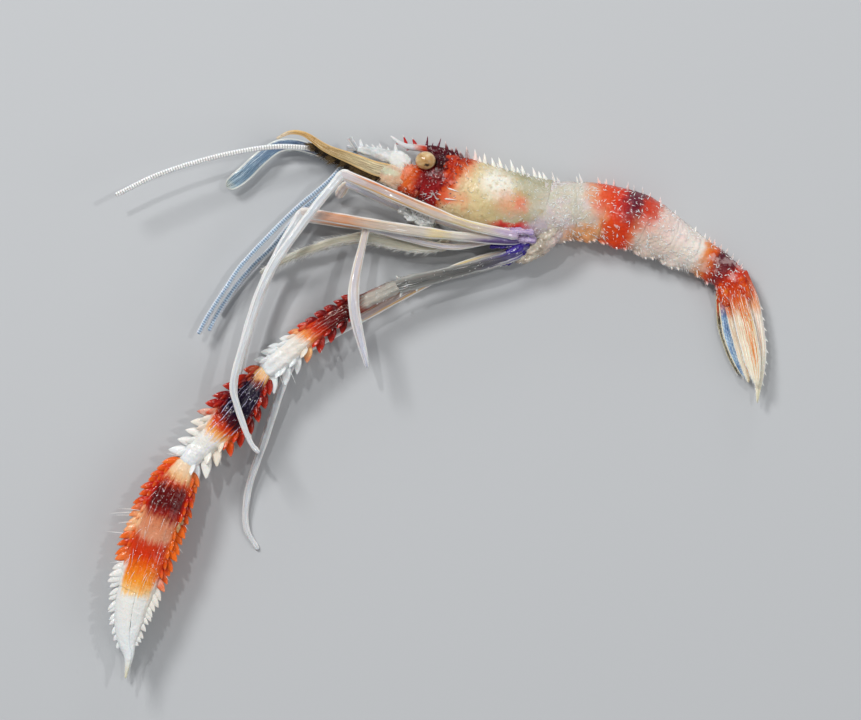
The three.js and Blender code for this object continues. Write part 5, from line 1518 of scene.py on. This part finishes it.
legColours = {
    # Down the link from its root, the flesh along its core, its rim, and stains: centre, radii,
    # colour, amount.
    "maxilliped": {"stops": [(0, 222, 214, 192), (6, 212, 208, 190), (12, 190, 192, 184)],
        "core": (164, 158, 138), "rim": (236, 234, 222)},
    "slenderLeg": {"stops": [(0, 226, 204, 176), (6, 226, 212, 198), (12, 222, 222, 226),
            (24, 232, 234, 238)],
        "core": (166, 170, 190), "clear": 0.05},
    "leg4": {
        "stops": [(0, 92, 66, 158), (1.8, 150, 132, 180), (3.8, 212, 206, 204), (7.4, 224, 220, 206),
            (8.6, 240, 222, 168), (9.6, 242, 224, 172), (10.6, 226, 220, 204), (15, 228, 208, 182),
            (18.4, 220, 152, 104), (20.4, 226, 170, 136), (21.8, 230, 222, 216)],
        "core": (166, 152, 146), "clear": 0.05,
        "stains": [((2, -0.5), (3.6, 0.6), (60, 28, 104), 0.9),
            ((1.2, 0.4), (2.2, 0.5), (124, 110, 184), 0.7)],
    },
    "leg5": {
        "stops": [(0, 196, 178, 200), (1.6, 216, 204, 204), (4, 226, 210, 166), (5.5, 232, 210, 146),
            (8, 226, 208, 180), (12, 224, 196, 168), (16, 222, 198, 180), (17.6, 228, 224, 222)],
        "core": (166, 152, 160), "clear": 0.05,
        "stains": [((0.6, 0.2), (1.6, 0.6), (176, 152, 196), 0.5),
            ((13.6, 0.66), (3.6, 0.24), (222, 132, 74), 0.9),
            ((13.4, -0.7), (4, 0.2), (224, 178, 110), 0.9),
            ((9.5, 0.6), (2.5, 0.3), (222, 162, 112), 0.7)],
    },
    "shank": {"stops": [(0, 232, 230, 226), (3, 232, 234, 234), (30, 238, 238, 236)],
        "core": (172, 180, 190), "clear": 0.05},
    "ischium": {"stops": [(0, 60, 38, 146), (1.9, 74, 54, 150), (3.2, 104, 98, 124), (6, 116, 116, 114),
            (14, 144, 144, 138)],
        "core": (66, 66, 66), "rim": (182, 182, 178), "coreAmount": 0.85},
    "stump": {"stops": [(0, 206, 210, 212), (1.5, 232, 234, 234)], "core": (118, 124, 130),
        "rim": (246, 247, 247), "coreAmount": 0.8},
}


def legPaint(name, stops, core, rim=(244, 243, 240), coreAmount=0.75, clear=0.15, stains=()):
    # A clear tube: bright along both edges, darker along the middle where its flesh shows as fine
    # lines. A stain is a colour within an ellipse in distance along and side.
    p = Paint(name, 0.8, 1)
    fibres = p.fibres(0.06, 1.5, 0.9, 2.2)
    p.colour = p.ramp(p.place, stops)
    inner = p.times(p.remap(p.edge, 0.3, 0.68, 1, 0), p.remap(fibres, 0.35, 0.6, 0.35, 1))
    p.over(core, inner, coreAmount)
    p.over((250, 248, 244), p.remap(fibres, 0.58, 0.64, 0, 0.75))
    for centre, radii, colour, amount in stains:
        p.over(colour, p.spot(centre, radii, 0.5, amount, 0.9))
    p.over((120, 108, 104), p.remap(fibres, 0.42, 0.36, 0, 0.45))
    p.over(rim, p.remap(p.edge, 0.72, 0.92, 0, 0.8))
    p.whiten()
    return p.finish(0.18, p.skin(0.07), coat=0.6, flesh=0.2, clear=clear,
        gloss=p.bump(p.noise(1.2, 2), 0.1))


baseColours = {
    "lower": ("violetPaint", (30, 16, 92), (54, 38, 132), (108, 88, 176)),
    "upper": ("lilacPaint", (126, 104, 172), (182, 162, 194), (222, 210, 220)),
}


def basePaint(name, dark, middle, light):
    # Streaks of three shades, with pale specks.
    p = Paint(name)
    streaks = p.fibres(0.4, 2.2, 2.2, 1.4, 4, 0.65)
    p.colour = p.ramp(streaks, [(0.34, *dark), (0.5, *middle), (0.66, *light)])
    p.glintSpecks(2.6, 0.16, 0.9)
    p.whiten()
    return p.finish(0.17, coat=0.3, flesh=0.2)


clawColours = {
    # Down the middle of the link and down each margin, then the teeth's tips and the fine lines.
    "merus": {
        "middle": [(0, 160, 158, 150), (3.6, 168, 160, 150), (4.6, 150, 60, 36), (5.3, 72, 0, 2),
            (8, 104, 4, 2), (9.2, 200, 48, 6), (10.4, 230, 140, 66), (11.2, 227, 218, 206),
            (16, 222, 226, 228)],
        "left": [(0, 170, 168, 160), (4.4, 130, 44, 34), (5.3, 76, 2, 6), (8.8, 108, 4, 6),
            (10, 190, 38, 6), (11, 234, 168, 110), (11.6, 227, 228, 227), (16, 228, 231, 232)],
        "right": [(0, 170, 168, 160), (4.4, 130, 44, 34), (5.3, 84, 2, 4), (8.8, 118, 6, 4),
            (10.4, 200, 46, 6), (11.4, 238, 190, 130), (12, 227, 228, 227), (16, 228, 231, 232)],
        "tips": (192, 36, 18), "lineAmount": 0.35,
    },
    "carpus": {
        "middle": [(-0.4, 232, 200, 150), (0.9, 228, 172, 110), (1.4, 104, 12, 16), (2, 22, 2, 32),
            (5.2, 16, 3, 36), (6.2, 84, 6, 16), (7, 206, 60, 14), (7.9, 234, 168, 96), (8.8, 228, 224, 214),
            (12.2, 226, 229, 230)],
        "left": [(-0.4, 236, 180, 110), (0.8, 184, 44, 10), (2.4, 132, 8, 12), (4.6, 104, 2, 22),
            (5.6, 150, 14, 14), (6.4, 216, 88, 18), (7, 232, 222, 208), (12.2, 230, 233, 234)],
        "right": [(-0.4, 236, 190, 130), (0.8, 140, 16, 8), (4.8, 104, 4, 4), (6.2, 166, 22, 4),
            (7.6, 216, 84, 16), (8.5, 234, 222, 202), (12.2, 230, 233, 234)],
        "tips": (208, 54, 22), "lines": (214, 206, 238), "lineAmount": 0.95,
    },
    "hand": {
        "middle": [(0, 232, 208, 178), (1.5, 226, 174, 122), (2.3, 184, 56, 12), (3, 98, 4, 2),
            (4.6, 80, 0, 2), (5.6, 142, 24, 12), (6.4, 204, 124, 86), (8, 210, 142, 108),
            (8.9, 190, 54, 20), (10, 206, 48, 4), (11.2, 228, 100, 12), (12.8, 240, 150, 44),
            (13.8, 242, 196, 130), (14.5, 229, 228, 222), (20.5, 227, 231, 232), (22.6, 214, 208, 176)],
        "left": [(0, 232, 120, 40), (1, 214, 66, 12), (3, 188, 20, 8), (5.4, 196, 34, 8),
            (6.3, 236, 176, 130), (7.4, 240, 196, 150), (8.2, 220, 92, 24), (9.3, 206, 44, 4),
            (10.9, 230, 116, 50), (11.6, 229, 226, 221), (22.6, 230, 233, 234)],
        "right": [(0, 216, 130, 70), (1.8, 206, 80, 24), (3, 176, 20, 8), (5.4, 190, 34, 8),
            (6.6, 222, 96, 20), (9.6, 226, 100, 20), (10.6, 200, 36, 8), (12.2, 222, 96, 44),
            (13, 230, 222, 210), (22.6, 228, 231, 232)],
        "tips": (240, 118, 36), "lineAmount": 0.2, "wartColour": (176, 138, 96),
    },
}


def clawPaint(name, middle, left, right, tips, lines=(250, 226, 210), lineAmount=0.6, wartColour=None):
    # Colours run along the link, with their own run down each margin and its teeth.
    p = Paint(name, 0.8, 1.3)
    runs = p.minus(p.fibres(0.1, 5, 2, 2, 3, 0.6), 0.5)
    place = p.plus(p.place, p.times(runs, 2.2))
    p.colour = p.ramp(place, middle)
    p.over(p.ramp(place, left), p.remap(p.across, 0.7, 0.94))
    p.over(p.ramp(place, right), p.remap(p.across, -0.7, -0.94))
    rich = p.remap(p.put("ShaderNodeSeparateColor", {"Color": p.colour}, mode="HSV").outputs[1], 0.3, 0.75)
    dark = p.remap(p.fibres(0.5, 3, 2, 1.5), 0.32, 0.46, 0.35, 0)
    p.over((150, 134, 134), dark, rich, mode="MULTIPLY")
    p.over(tips, rich, p.remap(p.tooth, 0.25, 0.95, 0, 0.6))
    threads = p.maths("SINE", p.plus(p.times(p.across, 24), p.times(p.wander, 7)))
    threads = p.times(p.remap(threads, 0.82, 0.97), p.streaks(0.46, 0.56, lineAmount, 0.25, 4, 3))
    p.over(lines, threads, p.remap(p.edge, 0.85, 0.7))
    p.glintSpecks(3.2, 0.13, 0.7)
    if wartColour:
        distances = hand["warts"][0]
        p.over(wartColour, p.band(p.along, distances[0] - 0.01, distances[-1] + 0.01, 0.005),
            p.band(p.across, -0.99, -0.93, 0.003))
    p.whiten((252, 236, 226), 0.8, 0.15)
    return p.finish(0.17, p.skin(0.11), coat=0.25, flesh=0.2)


print("shrimp: trunk")
shellPaint = carapacePaint()
ringPaint = abdomenPaint()
makeCarapace(shellPaint)
makeRostrum(rostrumPaint())
low = trunk["carapaceEnd"]
for number, high in enumerate(trunk["ringEnds"], start=1):
    makeAbdomenRing(number, low, high, ringPaint)
    if 2 <= number <= 5:
        makeSwimmers(number, low, high, ringPaint)
    low = high
makeFirstSwimmers(swimmerPaint())

print("shrimp: tail fan")
makeTailBase(tailBasePaint())
tailPaints = {kind: tailPaint(f"{kind}Paint", **colours) for kind, colours in tailColours.items()}
tailPaints.update({kind: bladePaint(f"{kind}Paint", **colours) for kind, colours in bladeColours.items()})
for name, settings in tailFan.items():
    makeTailBlade(name, settings, tailPaints[settings["paint"]])

print("shrimp: head")
eyeBall = eyePaint()
cheekPaint = antennaBasePaint()
stemPaint = stalkPaint()
glassPaint = clearPaint()
peduncle = antennulePaint()
strandPaints = {kind: strandPaint(f"{kind}Paint", **colours) for kind, colours in strandColours.items()}
strandPaints["stump"] = legPaint("stumpPaint", **legColours["stump"])
scalePaints = {kind: scalePaint(f"{kind}Paint", **colours) for kind, colours in scaleColours.items()}
fringePaints = {kind: fringePaint(*colours) for kind, colours in fringeColours.items()}
for side, sign in (("left", 1), ("right", -1)):
    makeEye(side, sign, eyeBall, shellPaint)
for name, (kind, start, links, *girth) in head.items():
    path = layPath(start, links)
    if kind == "base":
        makeAntennaBase(name, path, cheekPaint, stemPaint)
    elif kind == "antennule":
        makeAntennule(name, path, peduncle)
    elif kind in scalePaints:
        makeScale(name, kind, path, *girth, scalePaints[kind], fringePaints[kind])
    elif kind == "mouth":
        makeMouthparts(name, path, glassPaint)
    else:
        makeStrand(name, path, kind, strandPaints[kind])

print("shrimp: limbs")
for which, colours in baseColours.items():
    makeLegBases(which, basePaint(*colours))
legPaints = {kind: legPaint(f"{kind}Paint", **colours) for kind, colours in legColours.items()
    if kind != "stump"}
clawPaints = {link: clawPaint(f"{link}Paint", **colours) for link, colours in clawColours.items()}
clawPaints["ischium"] = legPaints["ischium"]
for limb, (start, links) in limbs.items():
    leg, side = limb.split("_")
    joints = lambda first, last: layPath(start, links, first, last)
    for piece, first, last, girth, paint, slot, extras in limbLinks.get(leg, []):
        makeSlenderLimb(limb, piece, joints(first, last), limbGirth[girth], legPaints[paint], slot,
            **extras)
    if leg == "leg3":
        for link, parts in clawLinks.items():
            makeClawLink(side, link, joints(*parts["joints"]), clawPaints[link])
        makeClawHand(side, joints(6, None), clawPaints["hand"])


stage = {
    "floor": (186, 188, 190), "floorReach": 1.2, "sky": (0.95, 0.97, 1, 1), "skyStrength": 0.3,
    "cameraHeight": 500, "viewWidth": 86.1, "aimHeight": 3.5,  # millimetres
    # Lights: name, place, size, power.
    "lights": [("keyLight", (-0.22, 0.26, 0.38), 0.13, 1.3), ("fillLight", (0.35, -0.10, 0.35), 0.30, 0.44),
        ("rimLight", (0.10, 0.40, 0.12), 0.10, 0.16), ("leftGlint", (-0.10, 0.16, 0.42), 0.014, 0.34),
        ("rightGlint", (0.16, 0.08, 0.42), 0.014, 0.26)],
}


def addToScene(name, data):
    # The lamp or camera as an object of the scene.
    item = bpy.data.objects.new(name, data)
    bpy.context.scene.collection.objects.link(item)
    return item


def makeStage():
    # The floor, the lamps, an even sky, and the camera straight above.
    material = bpy.data.materials.new("floorPaint")
    material.use_nodes = True
    shader = material.node_tree.nodes["Principled BSDF"]
    shader.inputs["Base Color"].default_value = linear(stage["floor"])
    shader.inputs["Roughness"].default_value = 0.75
    mesh = bpy.data.meshes.new("floor")
    reach = stage["floorReach"]
    mesh.from_pydata([(-reach, -reach, 0), (reach, -reach, 0), (reach, reach, 0), (-reach, reach, 0)], [],
        [(0, 1, 2, 3)])
    mesh.materials.append(material)
    addToScene("floor", mesh)
    for name, place, size, power in stage["lights"]:
        light = bpy.data.lights.new(name, "AREA")
        light.shape, light.size, light.energy = "DISK", size, power
        lamp = addToScene(name, light)
        lamp.location = place
        lamp.rotation_euler = (-Vector(place)).to_track_quat("-Z", "Y").to_euler()
    world = bpy.data.worlds.new("world")
    world.use_nodes = True
    sky = world.node_tree.nodes["Background"]
    sky.inputs["Color"].default_value = stage["sky"]
    sky.inputs["Strength"].default_value = stage["skyStrength"]
    bpy.context.scene.world = world
    bpy.context.scene.view_settings.view_transform = "Standard"
    camera = bpy.data.cameras.new("camera")
    camera.sensor_width = 36
    camera.lens = 36 * (stage["cameraHeight"] - stage["aimHeight"]) / stage["viewWidth"]
    camera.clip_start, camera.clip_end = 0.01, 10
    item = addToScene("camera", camera)
    item.location = (drawingShift[0] * mm, drawingShift[1] * mm, stage["cameraHeight"] * mm)
    bpy.context.scene.camera = item


print("shrimp: stage")
makeStage()
